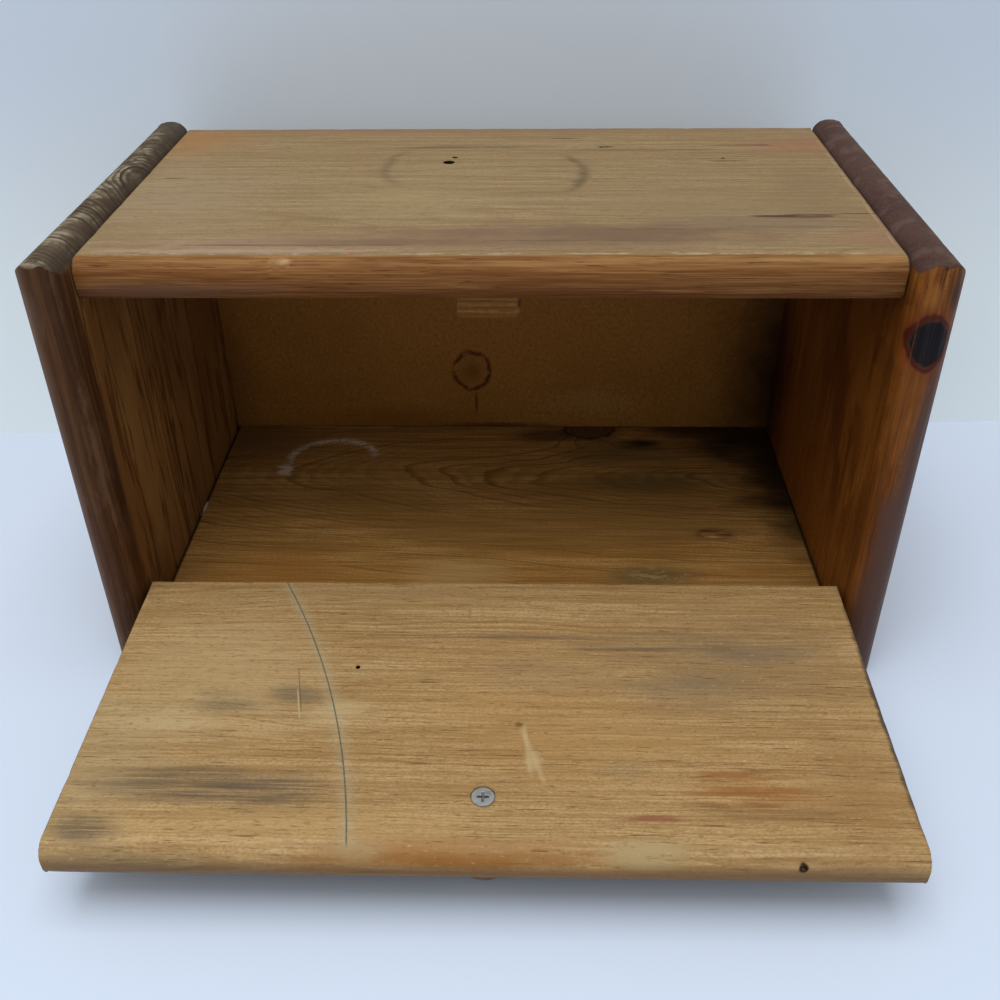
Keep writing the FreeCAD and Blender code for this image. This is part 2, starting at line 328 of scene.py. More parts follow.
def drift(tree, vector, scale, detail):
    """A vector of noise round zero, which bends what is drawn with it."""
    return vector_calc(tree, "SUBTRACT", cloud(tree, vector, scale, detail)[1], (0.5, 0.5, 0.5))


def new_group(name, takes, gives):
    """An empty shader group with named inputs and outputs."""
    tree = bpy.data.node_groups.new(name, "ShaderNodeTree")
    for label, value in takes.items():
        kind = "NodeSocketVector" if isinstance(value, tuple) else "NodeSocketFloat"
        socket = tree.interface.new_socket(label, in_out="INPUT", socket_type=kind)
        socket.default_value = value
    for label in gives:
        tree.interface.new_socket(label, in_out="OUTPUT", socket_type="NodeSocketFloat")
    source = tree.nodes.new("NodeGroupInput")
    result = tree.nodes.new("NodeGroupOutput")
    return tree, source.outputs, result


def give(tree, result, label, value):
    """Link a value to one of a group's outputs."""
    tree.links.new(value, result.inputs[label])


ORIGIN = (0.0, 0.0, 0.0)
print("helpers ready in Blender", bpy.app.version_string)


# %% [markdown]
# ## Growth rings, fibres and pores
# A board is a slice of a log. Ring lines show where the surface crosses the yearly
# cylinders round the pith, so one formula gives straight lines on one face, cathedrals on
# another and arcs on the end grain. The input position runs along the log in X, with
# the pith at Y = Z = 0. Dip tilts the pith under the face, which opens the cathedrals.
# Each ring is pale early wood that darkens slowly and ends sharply.

# %% The pine grain group
SLOW_BENDS = (7, 26, 26)    # waves in a metre, along the log and across it
QUICK_BENDS = (34, 150, 150)
QUICK_SHARE = (0.15, 0.15, 0.15)
ACROSS = (0, 4, 4)          # the rings are bent across the log only
STREAKS = (("Band", (5, 55, 55), 4.0, 0.38, 0.62),
           ("Fibre", (14, 420, 420), 4.0, 0.36, 0.64),
           ("Thread", (22, 1400, 1400), 3.0, 0.44, 0.68),
           ("Dashes", (60, 1300, 1300), 3.0, 0.60, 0.72),
           ("Dust", (650, 1000, 1000), 2.0, 0.42, 0.62))


def pine_grain():
    """Masks of late wood and of streaks, finer and finer, from a position in the log."""
    takes = {"Position": ORIGIN, "Ring Width": 0.0015, "Wander": 0.002,
             "Lean": 0.0, "Dip": 0.0, "Swell": 0.0}
    gives = ["Late Wood"] + [row[0] for row in STREAKS]
    tree, source, result = new_group("pine grain", takes, gives)
    place = source["Position"]
    slow = drift(tree, vector_calc(tree, "MULTIPLY", place, SLOW_BENDS), 1.0, 2.0)
    quick = drift(tree, vector_calc(tree, "MULTIPLY", place, QUICK_BENDS), 1.0, 2.0)
    quick = vector_calc(tree, "MULTIPLY", quick, QUICK_SHARE)
    shift = scaled(tree, vector_calc(tree, "ADD", slow, quick), source["Wander"])
    shift = vector_calc(tree, "MULTIPLY", shift, ACROSS)
    bent = add(tree, "SeparateXYZ", {0: vector_calc(tree, "ADD", place, shift)}).outputs
    leaning = calc(tree, "MULTIPLY_ADD", bent["X"], source["Lean"], bent["Y"])
    dipping = calc(tree, "MULTIPLY_ADD", bent["X"], source["Dip"], bent["Z"])
    flat = add(tree, "CombineXYZ", {"X": leaning, "Y": dipping}).outputs[0]
    radius = calc(tree, "ADD", length_of(tree, flat), source["Swell"])
    years = calc(tree, "DIVIDE", radius, source["Ring Width"])
    season = calc(tree, "FRACT", years)
    year = add(tree, "TexWhiteNoise", {"W": calc(tree, "FLOOR", years)},
               noise_dimensions="1D").outputs["Value"]
    late = calc(tree, "MULTIPLY", fade(tree, season, 0.2, 0.8), fade(tree, season, 1.0, 0.88))
    strength = calc(tree, "MULTIPLY_ADD", calc(tree, "POWER", year, 1.5), 0.85, 0.15)
    give(tree, result, "Late Wood", calc(tree, "MULTIPLY", late, strength))
    for label, waves, detail, low, high in STREAKS:
        stretched = vector_calc(tree, "MULTIPLY", place, waves)
        value = cloud(tree, stretched, 1.0, detail, 0.62)[0]
        give(tree, result, label, fade(tree, value, low, high))
    return tree


GRAIN = pine_grain()
print("group made:", GRAIN.name, "with", len(GRAIN.nodes), "nodes")

# %% [markdown]
# ## Blotches, rings and lines
# Marks lie where something happened, so noise alone can't place them: each has a centre
# or a start. A blotch is a soft-edged patch, whose outline is made ragged by a lumpy
# noise. A ring mark is what a wet jar leaves. A drawn line follows x = a + b y + c y
# squared across a board, which is enough for a pen stroke made with a sweep of the arm.
# The lumps are an input, so that many marks share one noise.

# %% The groups for marks
def blotch():
    """A soft patch round a centre."""
    takes = {"Position": ORIGIN, "Centre": ORIGIN,
             "Size": (0.02, 0.02, 0.02), "Lumps": 0.5, "Ragged": 0.4, "Soft": 0.6}
    tree, source, result = new_group("blotch", takes, ["Mask"])
    away = vector_calc(tree, "SUBTRACT", source["Position"], source["Centre"])
    away = length_of(tree, vector_calc(tree, "DIVIDE", away, source["Size"]))
    lumps = calc(tree, "SUBTRACT", source["Lumps"], 0.5)
    away = calc(tree, "MULTIPLY_ADD", lumps, calc(tree, "MULTIPLY", source["Ragged"], 2.0), away)
    inner = calc(tree, "SUBTRACT", 1.0, source["Soft"])
    give(tree, result, "Mask", fade(tree, away, 1.0, inner))
    return tree


def ring_mark():
    """A broken ring round a centre."""
    takes = {"Position": ORIGIN, "Centre": ORIGIN,
             "Stretch": (1.0, 1.0, 1.0), "Radius": 0.02, "Width": 0.002, "Lumps": 0.5}
    tree, source, result = new_group("ring mark", takes, ["Mask"])
    away = vector_calc(tree, "SUBTRACT", source["Position"], source["Centre"])
    away = length_of(tree, vector_calc(tree, "DIVIDE", away, source["Stretch"]))
    wobble = calc(tree, "SUBTRACT", source["Lumps"], 0.5)
    away = calc(tree, "MULTIPLY_ADD", wobble, calc(tree, "MULTIPLY", source["Width"], 2.5), away)
    off = calc(tree, "ABSOLUTE", calc(tree, "SUBTRACT", away, source["Radius"]))
    line = fade(tree, off, source["Width"], 0.0)
    give(tree, result, "Mask", calc(tree, "MULTIPLY", line, fade(tree, source["Lumps"], 0.3, 0.5)))
    return tree


END_FADE = 0.004            # over which a drawn line runs out at both ends


def drawn_line():
    """A thin line across a board."""
    takes = {"Position": ORIGIN, "Start": 0.0, "Slope": 0.0, "Curve": 0.0,
             "From": 0.0, "To": 1.0, "Width": 0.0008, "Lumps": 0.5}
    tree, source, result = new_group("drawn line", takes, ["Mask"])
    parts = add(tree, "SeparateXYZ", {0: source["Position"]}).outputs
    bend = calc(tree, "MULTIPLY_ADD", parts["Y"], source["Curve"], source["Slope"])
    wanted = calc(tree, "MULTIPLY_ADD", parts["Y"], bend, source["Start"])
    off = calc(tree, "ABSOLUTE", calc(tree, "SUBTRACT", parts["X"], wanted))
    line = fade(tree, off, source["Width"], calc(tree, "MULTIPLY", source["Width"], 0.1))
    for end, reach in (("From", -END_FADE), ("To", END_FADE)):
        stop = calc(tree, "SUBTRACT", parts["Y"], source[end])
        line = calc(tree, "MULTIPLY", line, fade(tree, stop, reach, 0.0))
    give(tree, result, "Mask", calc(tree, "MULTIPLY", line, fade(tree, source["Lumps"], 0.1, 0.5)))
    return tree


BLOTCH = blotch()
RING_MARK = ring_mark()
DRAWN_LINE = drawn_line()
print("groups made:", ", ".join(group.name for group in (BLOTCH, RING_MARK, DRAWN_LINE)))

# %% [markdown]
# ## Rubbed edges and knots
# Polish goes first from the arrises. Blender's pointiness would find them too, but only in
# Cycles and only as finely as the mesh, so the rim attribute is used, broken up by lumps.
# A knot is the stump of a branch: a dark disc with its own rings and a ring of bark, which
# pushes the grain around it. It is measured in knot sizes from its centre.

# %% The groups for edges and knots
LUMP_PULL = 1.3             # how far the lumps break up the rubbed edge
KNOT_LUMPS = 150.0
KNOT_YEARS = 26.0           # radians of its own rings in one knot size


def rubbed_edge():
    """Where polish has gone from the arrises."""
    tree, source, result = new_group("rubbed edge", {"Rim": 0.0, "Reach": 0.6, "Lumps": 0.5},
                                     ["Mask"])
    lumps = calc(tree, "SUBTRACT", source["Lumps"], 0.5)
    value = calc(tree, "MULTIPLY_ADD", lumps, LUMP_PULL, source["Rim"])
    start = calc(tree, "SUBTRACT", 1.0, source["Reach"])
    give(tree, result, "Mask", fade(tree, value, start, 1.0))
    return tree


def knot():
    """A knot's face, its bark, the dark wood round it, and its push on the grain."""
    takes = {"Position": ORIGIN, "Centre": ORIGIN, "Size": (0.01, 0.01, 0.01), "Ragged": 0.35}
    tree, source, result = new_group("knot", takes, ["Face", "Bark", "Halo", "Push", "Years"])
    wobble = scaled(tree, drift(tree, source["Position"], KNOT_LUMPS, 3.0), source["Ragged"])
    away = vector_calc(tree, "SUBTRACT", source["Position"], source["Centre"])
    away = vector_calc(tree, "DIVIDE", away, source["Size"])
    reach = length_of(tree, vector_calc(tree, "ADD", away, wobble))
    give(tree, result, "Face", fade(tree, reach, 1.06, 0.88))
    rim = calc(tree, "ABSOLUTE", calc(tree, "SUBTRACT", reach, 1.1))
    give(tree, result, "Bark", fade(tree, rim, 0.2, 0.02))
    give(tree, result, "Halo", fade(tree, reach, 2.0, 1.05))
    spread = calc(tree, "POWER", calc(tree, "MULTIPLY", reach, 0.5), 2.0)
    give(tree, result, "Push", calc(tree, "EXPONENT", calc(tree, "MULTIPLY", spread, -1.0)))
    years = calc(tree, "SINE", calc(tree, "MULTIPLY", reach, KNOT_YEARS))
    give(tree, result, "Years", calc(tree, "MULTIPLY_ADD", years, 0.5, 0.5))
    return tree


RUBBED = rubbed_edge()
KNOT = knot()
print("groups made:", ", ".join(group.name for group in (RUBBED, KNOT)))

# %% [markdown]
# ## A finish, laid on in order
# A polisher works in layers: bare wood, grain, stains, dirt, rubbed edges. The same is
# done here. One long chain of Mix nodes could be wired by hand, but a class that keeps
# the colour so far, and lays the next one over it through a mask, reads like the
# polisher's list.

# %% The layers of a finish
def metres(values):
    """Millimetres turned into metres."""
    return tuple(v * MM for v in values)


ALONG_X = (0.35, 1, 1)      # draws lumps out along a grain that runs on X
UPRIGHT = (1, 1, 0.35)      # and on Z


class Layers:
    """A material whose colour, roughness and height are built up layer by layer."""

    def __init__(self, name, colour, roughness, sheen=0.5, streak=ALONG_X, **shader_values):
        self.material = bpy.data.materials.new(name)
        self.material.use_nodes = True
        self.tree = self.material.node_tree
        self.tree.nodes.clear()
        shader_values["Specular IOR Level"] = sheen
        self.shader = add(self.tree, "BsdfPrincipled", shader_values)
        self.out = add(self.tree, "OutputMaterial")
        self.tree.links.new(self.shader.outputs[0], self.out.inputs[0])
        self.coords = add(self.tree, "TexCoord").outputs
        self.place = self.coords["Object"]
        self.parts = add(self.tree, "SeparateXYZ", {0: self.place}).outputs
        self.normal = add(self.tree, "SeparateXYZ", {0: self.coords["Normal"]}).outputs
        self.colour = add(self.tree, "RGB").outputs[0]
        self.colour.default_value = (*colour, 1)
        self.roughness = roughness
        self.height = None
        self.streak = streak
        self.noises = {}

    def use(self, group, **values):
        """Place a shader group in this material, with its own values."""
        node = add(self.tree, "Group")
        node.node_tree = group
        if "Position" in node.inputs:
            values.setdefault("Position", self.place)
        for key, value in values.items():
            key = key.replace("_", " ")
            if isinstance(value, bpy.types.NodeSocket):
                self.tree.links.new(value, node.inputs[key])
            else:
                node.inputs[key].default_value = value
        return node.outputs

    def times(self, mask, other):
        """Where both masks are."""
        return calc(self.tree, "MULTIPLY", mask, other)

    def but(self, mask):
        """The opposite of a mask."""
        return calc(self.tree, "SUBTRACT", 1.0, mask)

    def lay(self, mask, colour, strength=1.0, area=None):
        """Lay a colour over what is there, through a mask, perhaps only in an area."""
        if area is not None:
            mask = self.times(area, mask)
        node = add(self.tree, "Mix", data_type="RGBA")
        self.tree.links.new(calc(self.tree, "MULTIPLY", mask, strength), node.inputs[0])
        self.tree.links.new(self.colour, node.inputs[6])
        node.inputs[7].default_value = (*colour, 1)
        self.colour = node.outputs[2]

    def dull(self, mask, amount):
        """Raise or lower the roughness through a mask."""
        self.roughness = calc(self.tree, "MULTIPLY_ADD", mask, amount, self.roughness)

    def raise_by(self, mask, amount):
        """Add to the height that makes the fine relief, in mm."""
        step = calc(self.tree, "MULTIPLY", mask, amount * MM)
        self.height = step if self.height is None else calc(self.tree, "ADD", self.height, step)

    def done(self):
        """Link the layers to the shader."""
        self.tree.links.new(self.colour, self.shader.inputs["Base Color"])
        if isinstance(self.roughness, float):
            self.shader.inputs["Roughness"].default_value = self.roughness
        else:
            self.tree.links.new(self.roughness, self.shader.inputs["Roughness"])
        if self.height is not None:
            relief = add(self.tree, "Bump", {"Distance": 1.0, "Height": self.height})
            self.tree.links.new(relief.outputs[0], self.shader.inputs["Normal"])
        print(self.material.name, "has", len(self.tree.nodes), "nodes")
        return self.material


print("what a finish can do:", ", ".join(name for name in vars(Layers) if name[0] != "_"))

# %% [markdown]
# ## Where a layer lies
# A layer can follow the whole board (clouds), the log it was sawn from (along), the way a
# surface faces or how far along the board it is. All of these come from the piece's own
# coordinates. World coordinates would be simpler, but the pattern would then swim over
# the flap as it turns.

# %% Masks that follow the board
class Places(Layers):
    """Layers that know where they are on the board."""

    def lumps(self, scale):
        """Lumpy noise drawn out along the grain, shared by all marks of one scale."""
        if scale not in self.noises:
            stretched = vector_calc(self.tree, "MULTIPLY", self.place, self.streak)
            self.noises[scale] = cloud(self.tree, stretched, scale, 4.0, 0.6)[0]
        return self.noises[scale]

    def clouds(self, scale, low, high):
        """A mask of clouds over the whole piece."""
        return fade(self.tree, self.lumps(scale), low, high)

    def mottle(self, scale, low, high, colour, strength, area=None):
        """Lay a colour in clouds, over the whole piece or in an area."""
        self.lay(self.clouds(scale, low, high), colour, strength, area)

    def along(self, axis, pith):
        """Position in the log for a board whose grain runs on X or Z, pith in mm."""
        across = {"X": ("Y", "Z"), "Z": ("Y", "X")}[axis]
        inputs = {"X": self.parts[axis]}
        for key, name, centre in zip("YZ", across, pith):
            inputs[key] = calc(self.tree, "SUBTRACT", self.parts[name], centre * MM)
        return add(self.tree, "CombineXYZ", inputs).outputs[0]

    def facing(self, axis, sign, start=0.4, end=0.85):
        """1 where the surface faces along an axis."""
        value = calc(self.tree, "MULTIPLY", self.normal[axis], sign)
        return fade(self.tree, value, start, end)

    def beyond(self, axis, start, end):
        """1 past a place on an axis; it fades in from start to end, both in mm."""
        return fade(self.tree, self.parts[axis], start * MM, end * MM)


print("masks that follow the board: clouds, along, facing and beyond")

# %% [markdown]
# ## Marks in their places
# What is left are the marks that people make: stains, rings, strokes and rubbed edges.
# Each is a call with a place in millimetres, because a mark on a real board is found
# with a ruler too.

# %% Marks with a place of their own
class Finish(Places):
    """Everything that a board's finish is made of."""

    def patch(self, centre, size, colour, strength, ragged=0.6, lump=90.0, soft=0.7, through=None):
        """Lay a colour in a blotch, perhaps only through another mask."""
        lumps = self.lumps(lump) if ragged else 0.5
        mask = self.use(BLOTCH, Centre=metres(centre), Size=metres(size), Ragged=ragged,
                        Lumps=lumps, Soft=soft)["Mask"]
        if through is not None:
            mask = self.times(mask, through)
        self.lay(mask, colour, strength)

    def patches(self, rows, **options):
        """Lay many blotches, each given as centre, size, colour and strength."""
        for row in rows:
            self.patch(*row, **options)

    def ring(self, centre, radius, width, stretch=(1.0, 1.0, 1.0), lump=60.0):
        """The mask of a ring mark."""
        return self.use(RING_MARK, Centre=metres(centre), Radius=radius * MM, Width=width * MM,
                        Stretch=stretch, Lumps=self.lumps(lump))["Mask"]

    def line(self, start, slope, curve, reach, width, colour, strength, through):
        """Lay a drawn line between two places in Y, through the mask of the face it is on."""
        mask = self.use(DRAWN_LINE, Start=start * MM, Slope=slope, Curve=curve, Width=width * MM,
                        From=reach[0] * MM, To=reach[1] * MM, Lumps=self.lumps(400.0))["Mask"]
        self.lay(self.times(mask, through), colour, strength)

    def rubbed(self, colour, reach, strength):
        """Lay a colour on the rubbed arrises."""
        rim = add(self.tree, "Attribute", attribute_name="rim").outputs["Fac"]
        mask = self.use(RUBBED, Rim=rim, Reach=reach, Lumps=self.lumps(90.0))["Mask"]
        self.lay(mask, colour, strength)


def tone(colour, factor):
    """A colour made darker or lighter."""
    return tuple(factor * c for c in colour)


def wood(finish, position, late, dark, light, lines=0.7, **grain_values):
    """Grain that every pine board has: bands, rings, fibres, pores, and their relief."""
    grain = finish.use(GRAIN, Position=position, **grain_values)
    finish.lay(grain["Band"], light, 0.6)
    finish.lay(grain["Fibre"], dark, 0.7)
    finish.lay(grain["Thread"], light, 0.45)
    finish.lay(grain["Late Wood"], late, lines)
    finish.lay(grain["Dust"], dark, 0.4)
    finish.lay(grain["Dashes"], tone(late, 0.6), 0.6)
    finish.raise_by(grain["Late Wood"], 0.05)
    finish.raise_by(grain["Dashes"], -0.06)
    finish.raise_by(grain["Fibre"], -0.05)
    finish.dull(grain["Dashes"], 0.2)
    return grain


print("marks with a place of their own: patch, ring, line and rubbed")


# %% [markdown]
# ## The flap's finish
# The inner face is the lightest wood, because it is wiped most: honey-coloured and close
# grained. It carries a pen stroke, grey smudges, red stains and a pale scrape. Noise would
# put such marks anywhere, so each is laid at its own place. Positions are the flap's own,
# in millimetres: X across, Y back from the hinge edge (so the free edge has the most
# negative Y), and Z out of the inner face. A row of marks holds the centre, the half
# size, the colour and the strength of each.

# %% Flap pine
flap_fine = Finish("flap_pine", (0.475, 0.300, 0.125), 0.5, sheen=0.15)
swirl = flap_fine.use(KNOT, Centre=metres((-138, -88, 0)), Size=metres((26, 8, 20)))
grain = wood(flap_fine, flap_fine.along("X", (30, -85)), (0.27, 0.135, 0.040),
             (0.28, 0.155, 0.052), (0.59, 0.42, 0.205), lines=0.62, Ring_Width=0.0014,
             Wander=0.0026, Lean=0.015,
             Swell=calc(flap_fine.tree, "MULTIPLY", swirl["Push"], 0.006))
NAIL_HOLE = (-58.9, -58.9, 0)
PIT = (121.8, -157.2, -5.6)
# near-black for the insides of holes and pits: painted shade in the recess
PAINTED_HOLE_SHADE = (0.008, 0.005, 0.004)
SMUDGE = (0.115, 0.088, 0.060)
SCUFF = (0.15, 0.105, 0.06)
AMBER = (0.30, 0.125, 0.028)
STRAW = (0.55, 0.42, 0.22)
OLIVE = (0.30, 0.22, 0.11)
flap_fine.patches((((-120, -65, 0), (75, 60, 20), (0.50, 0.355, 0.175), 0.6),
                   ((-140, -92, 0), (30, 12, 20), STRAW, 0.5),
                   ((-160, -120, 0), (40, 60, 20), (0.40, 0.30, 0.155), 0.5),
                   ((20, -80, 0), (70, 50, 20), (0.42, 0.235, 0.082), 0.5),
                   ((110, -50, 0), (90, 50, 20), (0.28, 0.180, 0.086), 0.65),
                   ((150, -120, 0), (32, 50, 20), (0.31, 0.165, 0.058), 0.6),
                   ((-70, -145, 0), (130, 12, 20), (0.52, 0.34, 0.14), 0.5),
                   ((-60, -8, 0), (130, 14, 20), (0.34, 0.22, 0.095), 0.5),
                   ((-112, -84, 0), (20, 6, 20), OLIVE, 0.6),
                   ((-118, -76, 0), (14, 4, 20), OLIVE, 0.6),
                   ((-84, -76, 0), (16, 9, 20), (0.27, 0.20, 0.115), 0.7),
                   ((92, -70, 0), (45, 14, 20), (0.22, 0.165, 0.10), 0.55),
                   ((120, -48, 0), (30, 9, 20), (0.20, 0.15, 0.095), 0.6),
                   ((58, -116, 0), (14, 10, 20), (0.28, 0.20, 0.10), 0.35),
                   ((20, -60, 0), (46, 20, 20), (0.32, 0.22, 0.12), 0.4),
                   ((60, -100, 0), (60, 16, 20), (0.45, 0.27, 0.10), 0.4),
                   ((-10, -158, -3), (105, 9, 9), AMBER, 1.0),
                   ((-10, -152, 0), (70, 6, 9), (0.38, 0.20, 0.07), 0.7),
                   ((-75, -160, -4), (70, 3.5, 5), (0.17, 0.095, 0.04), 0.8),
                   ((30, -161, -6), (60, 3.5, 5), (0.20, 0.10, 0.035), 0.8),
                   ((-48, -154, -3), (16, 7, 9), (0.40, 0.28, 0.125), 0.7),
                   ((62, -154, -3), (24, 8, 9), (0.42, 0.305, 0.145), 0.95),
                   ((130, -160, -6), (60, 7, 9), (0.27, 0.16, 0.07), 0.7),
                   ((-130, -160, -6), (60, 8, 9), (0.24, 0.165, 0.08), 0.8)), soft=0.9)
flap_fine.lay(grain["Dashes"], (0.15, 0.075, 0.025), 0.75)
flap_fine.mottle(700, 0.56, 0.68, (0.20, 0.11, 0.04), 0.5)
flap_fine.mottle(900, 0.60, 0.72, (0.66, 0.50, 0.28), 0.4)
flap_fine.mottle(140, 0.54, 0.70, (0.31, 0.19, 0.075), 0.35)
low_nose = flap_fine.facing("Z", -1, -0.55, 0.1)
flap_fine.lay(low_nose, (0.175, 0.084, 0.030), 0.75)
flap_fine.mottle(12, 0.42, 0.64, (0.24, 0.125, 0.046), 0.6, low_nose)
flap_fine.lay(grain["Late Wood"], (0.10, 0.045, 0.015), 0.5, low_nose)
print("flap: grain and stains laid")

# %% [markdown]
# ## The flap's marks
# Grey smudges and red stains lie in the open fibres only, so they are laid through a mask
# made from the grain itself. The strokes and scratches are laid on the inner face only:
# a mark has no depth of its own, and would else come out on the other side too. Each
# bored hole is painted black from just below the face: painted shade in the hole.

# %% Smudges, strokes and holes
broken = calc(flap_fine.tree, "MULTIPLY_ADD", grain["Fibre"], 0.5, 0.5)
broken = calc(flap_fine.tree, "MULTIPLY_ADD", grain["Thread"], -0.4, broken)
for centre, size, strength in (((-128, -124, 0), (42, 16, 20), 0.65),
                               ((-88, -128, 0), (38, 14, 20), 0.75),
                               ((-108, -126, 0), (58, 12, 20), 0.5),
                               ((-155, -147, 0), (20, 9, 20), 1.0),
                               ((-82, -78, 0), (20, 9, 20), 0.45),
                               ((-112, -82, 0), (24, 7, 20), 0.5),
                               ((70, -40, 0), (90, 9, 20), 0.3),
                               ((-15, -38, 0), (60, 9, 20), 0.3)):
    flap_fine.patch(centre, size, SMUDGE, strength, ragged=0.35, lump=90.0, soft=0.85,
                    through=broken)
rust = calc(flap_fine.tree, "MULTIPLY_ADD", grain["Fibre"], 1.0, 0.12)
flap_fine.patches((((108, -125, 0), (36, 13, 20), (0.30, 0.115, 0.030), 0.8),
                   ((112, -136, 0), (44, 5, 20), (0.21, 0.115, 0.04), 0.6),
                   ((66, -140, 0), (17, 3.2, 20), (0.27, 0.10, 0.05), 0.9),
                   ((46, -137, 0), (20, 2.4, 20), (0.31, 0.16, 0.075), 0.8),
                   ((25, -38, 0), (60, 2.2, 20), SCUFF, 0.75),
                   ((-30, -42, 0), (26, 1.6, 20), SCUFF, 0.75),
                   ((78, -46, 0), (60, 2.0, 20), SCUFF, 0.65)), lump=150.0,
                  through=rust)
flap_fine.patch((-63, -86, 0), (18, 12, 20), STRAW, 0.5, soft=1.0)
inner_face = flap_fine.beyond("Z", -8, -4)
for width, colour, strength in ((6.0, (0.45, 0.41, 0.28), 0.22),
                                (0.58, (0.03, 0.085, 0.075), 0.8)):
    flap_fine.line(-101.87, -0.5474, -1.417, (-151, -1), width, colour, strength, inner_face)
flap_fine.line(-98.5, -0.215, 0, (-83, -62), 0.5, (0.16, 0.10, 0.05), 0.7, inner_face)
flap_fine.line(-99.4, -0.215, 0, (-88, -75), 0.6, STRAW, 0.8, inner_face)
flap_fine.line(7.0, -0.10, 0, (-116, -94), 1.6, STRAW, 0.5, inner_face)
flap_fine.line(-16.0, -0.33, 0, (-121, -96), 1.9, STRAW, 0.45, inner_face)
flap_fine.patch((20, -112, 0), (5, 6, 9), STRAW, 0.55)
flap_fine.patch((14, -92, 0), (2.6, 2.2, 9), (0.17, 0.085, 0.03), 0.8)
for hand in (-1, 1):
    flap_fine.lay(flap_fine.facing("X", hand, 0.1, 0.5), (0.105, 0.070, 0.043), 0.85)
flap_fine.patch((169, -80, 0), (2.6, 90, 20), (0.07, 0.055, 0.04), 0.9, ragged=0.9)
# the pit in the nose and the nail hole are painted black inside: painted shade in the holes
flap_fine.patch(PIT, (2.2, 2.4, 2.4), PAINTED_HOLE_SHADE, 0.95, ragged=0.6, lump=300.0, soft=0.4)
below_face = flap_fine.beyond("Z", -0.35, -0.7)
flap_fine.patch(NAIL_HOLE, (1.8, 1.8, 12), PAINTED_HOLE_SHADE, 1.0, ragged=0.0, soft=0.2,
                through=below_face)
flap_fine.patch((0, -130, 0), (5.9, 5.9, 90), (0.13, 0.07, 0.03), 0.7, ragged=0.4, lump=300.0,
                soft=0.3)
flap_pine = flap_fine.done()

# %% [markdown]
# ## The top board's finish
# The top has been scrubbed and stood on. Its polish is gone and the wood has turned a
# greyish tan, while the moulded front edge keeps its orange polish below a pale, rubbed
# line. A wet jar has left two arcs of a ring. An arc group of its own would be one more
# formula; here each is a whole ring seen through a patch.

# %% Top pine
top_fine = Finish("top_pine", (0.325, 0.228, 0.112), 0.6, sheen=0.12)
grain = wood(top_fine, top_fine.along("X", (20, 115)), (0.20, 0.12, 0.050),
             (0.215, 0.137, 0.062), (0.385, 0.290, 0.155), lines=0.45, Ring_Width=0.0019,
             Wander=0.0035, Lean=-0.02, Dip=0.03)
FACE = 214.5                # height of the upper face, in mm
# x, y, radius and depth of each hole, how far its painted shade reaches, and the shift of that
# shade in y
TOP_HOLES = ((-23.1, 111.0, 3.0, 8, 3.6, 0.0),
             (-20.5, 119.0, 1.5, 2, 2.1, 0.2),
             (54.7, 135.7, 0.8, 3, 2.0, 0.0),
             (115.1, 116.4, 1.0, 4, 2.2, 0.0))
TAN = (0.33, 0.245, 0.15)
UMBER = (0.165, 0.100, 0.062)
top_fine.patches((((-150, 60, FACE), (70, 70, 20), TAN, 0.6),
                  ((-40, 60, FACE), (60, 40, 20), (0.36, 0.27, 0.135), 0.5),
                  ((90, 50, FACE), (90, 40, 20), (0.27, 0.195, 0.10), 0.5),
                  ((20, 6, FACE), (200, 24, 20), (0.24, 0.145, 0.085), 0.7),
                  ((-165, 150, FACE), (50, 35, 20), (0.35, 0.17, 0.06), 0.75),
                  ((0, 172, FACE), (400, 18, 20), (0.25, 0.145, 0.07), 0.75),
                  ((155, 137, FACE), (40, 24, 20), (0.30, 0.13, 0.075), 0.6),
                  ((165, 10, FACE), (30, 30, 20), (0.30, 0.155, 0.09), 0.5),
                  ((120, 24, FACE), (70, 20, 20), (0.20, 0.14, 0.090), 0.6),
                  ((45, 12, FACE), (95, 17, 20), UMBER, 0.75),
                  ((-110, 0, FACE), (90, 16, 20), (0.35, 0.235, 0.16), 0.6),
                  ((150, 70, FACE), (30, 60, 20), (0.23, 0.155, 0.08), 0.6),
                  ((110, 95, FACE), (50, 16, 20), (0.24, 0.165, 0.085), 0.5),
                  ((-50, 2, FACE), (80, 8, 20), UMBER, 0.6),
                  ((-85, 130, FACE), (60, 14, 20), (0.29, 0.20, 0.095), 0.5)), soft=0.95)
top_fine.patches((((140, 33, FACE), (17, 2.9, 8), (0.12, 0.066, 0.044), 1.0),
                  ((126, 33, FACE), (12, 1.6, 8), (0.08, 0.045, 0.028), 1.0),
                  ((166, 36, FACE), (17, 1.0, 8), (0.09, 0.05, 0.03), 0.8),
                  ((36, 152, FACE), (14, 1.4, 8), (0.05, 0.032, 0.018), 1.0),
                  ((-156, 87, FACE), (8, 1.1, 8), (0.10, 0.06, 0.035), 0.8),
                  ((-152, 50, FACE), (14, 1.0, 8), (0.15, 0.09, 0.05), 0.5),
                  ((56, 136.5, FACE), (8, 1.7, 8), (0.05, 0.03, 0.016), 1.0),
                  ((116, 112, FACE), (12, 1.2, 8), (0.10, 0.06, 0.03), 0.8),
                  ((130, 139, FACE), (20, 1.3, 8), (0.10, 0.05, 0.03), 0.9),
                  ((-85, 147, FACE), (34, 1.1, 8), (0.15, 0.10, 0.055), 0.5),
                  ((-25, 136, FACE), (44, 1.7, 8), (0.13, 0.09, 0.05), 0.8),
                  ((70, 131, FACE), (70, 1.2, 8), (0.14, 0.095, 0.055), 0.7),
                  ((-80, -1, FACE), (70, 1.2, 8), UMBER, 0.8),
                  ((40, 4, FACE), (60, 1.5, 8), UMBER, 0.8),
                  ((75, 17, FACE), (60, 1.6, 8), UMBER, 0.6),
                  ((130, 20, FACE), (40, 1.4, 8), UMBER, 0.6)),
                 ragged=0.9, lump=120.0, soft=0.6)
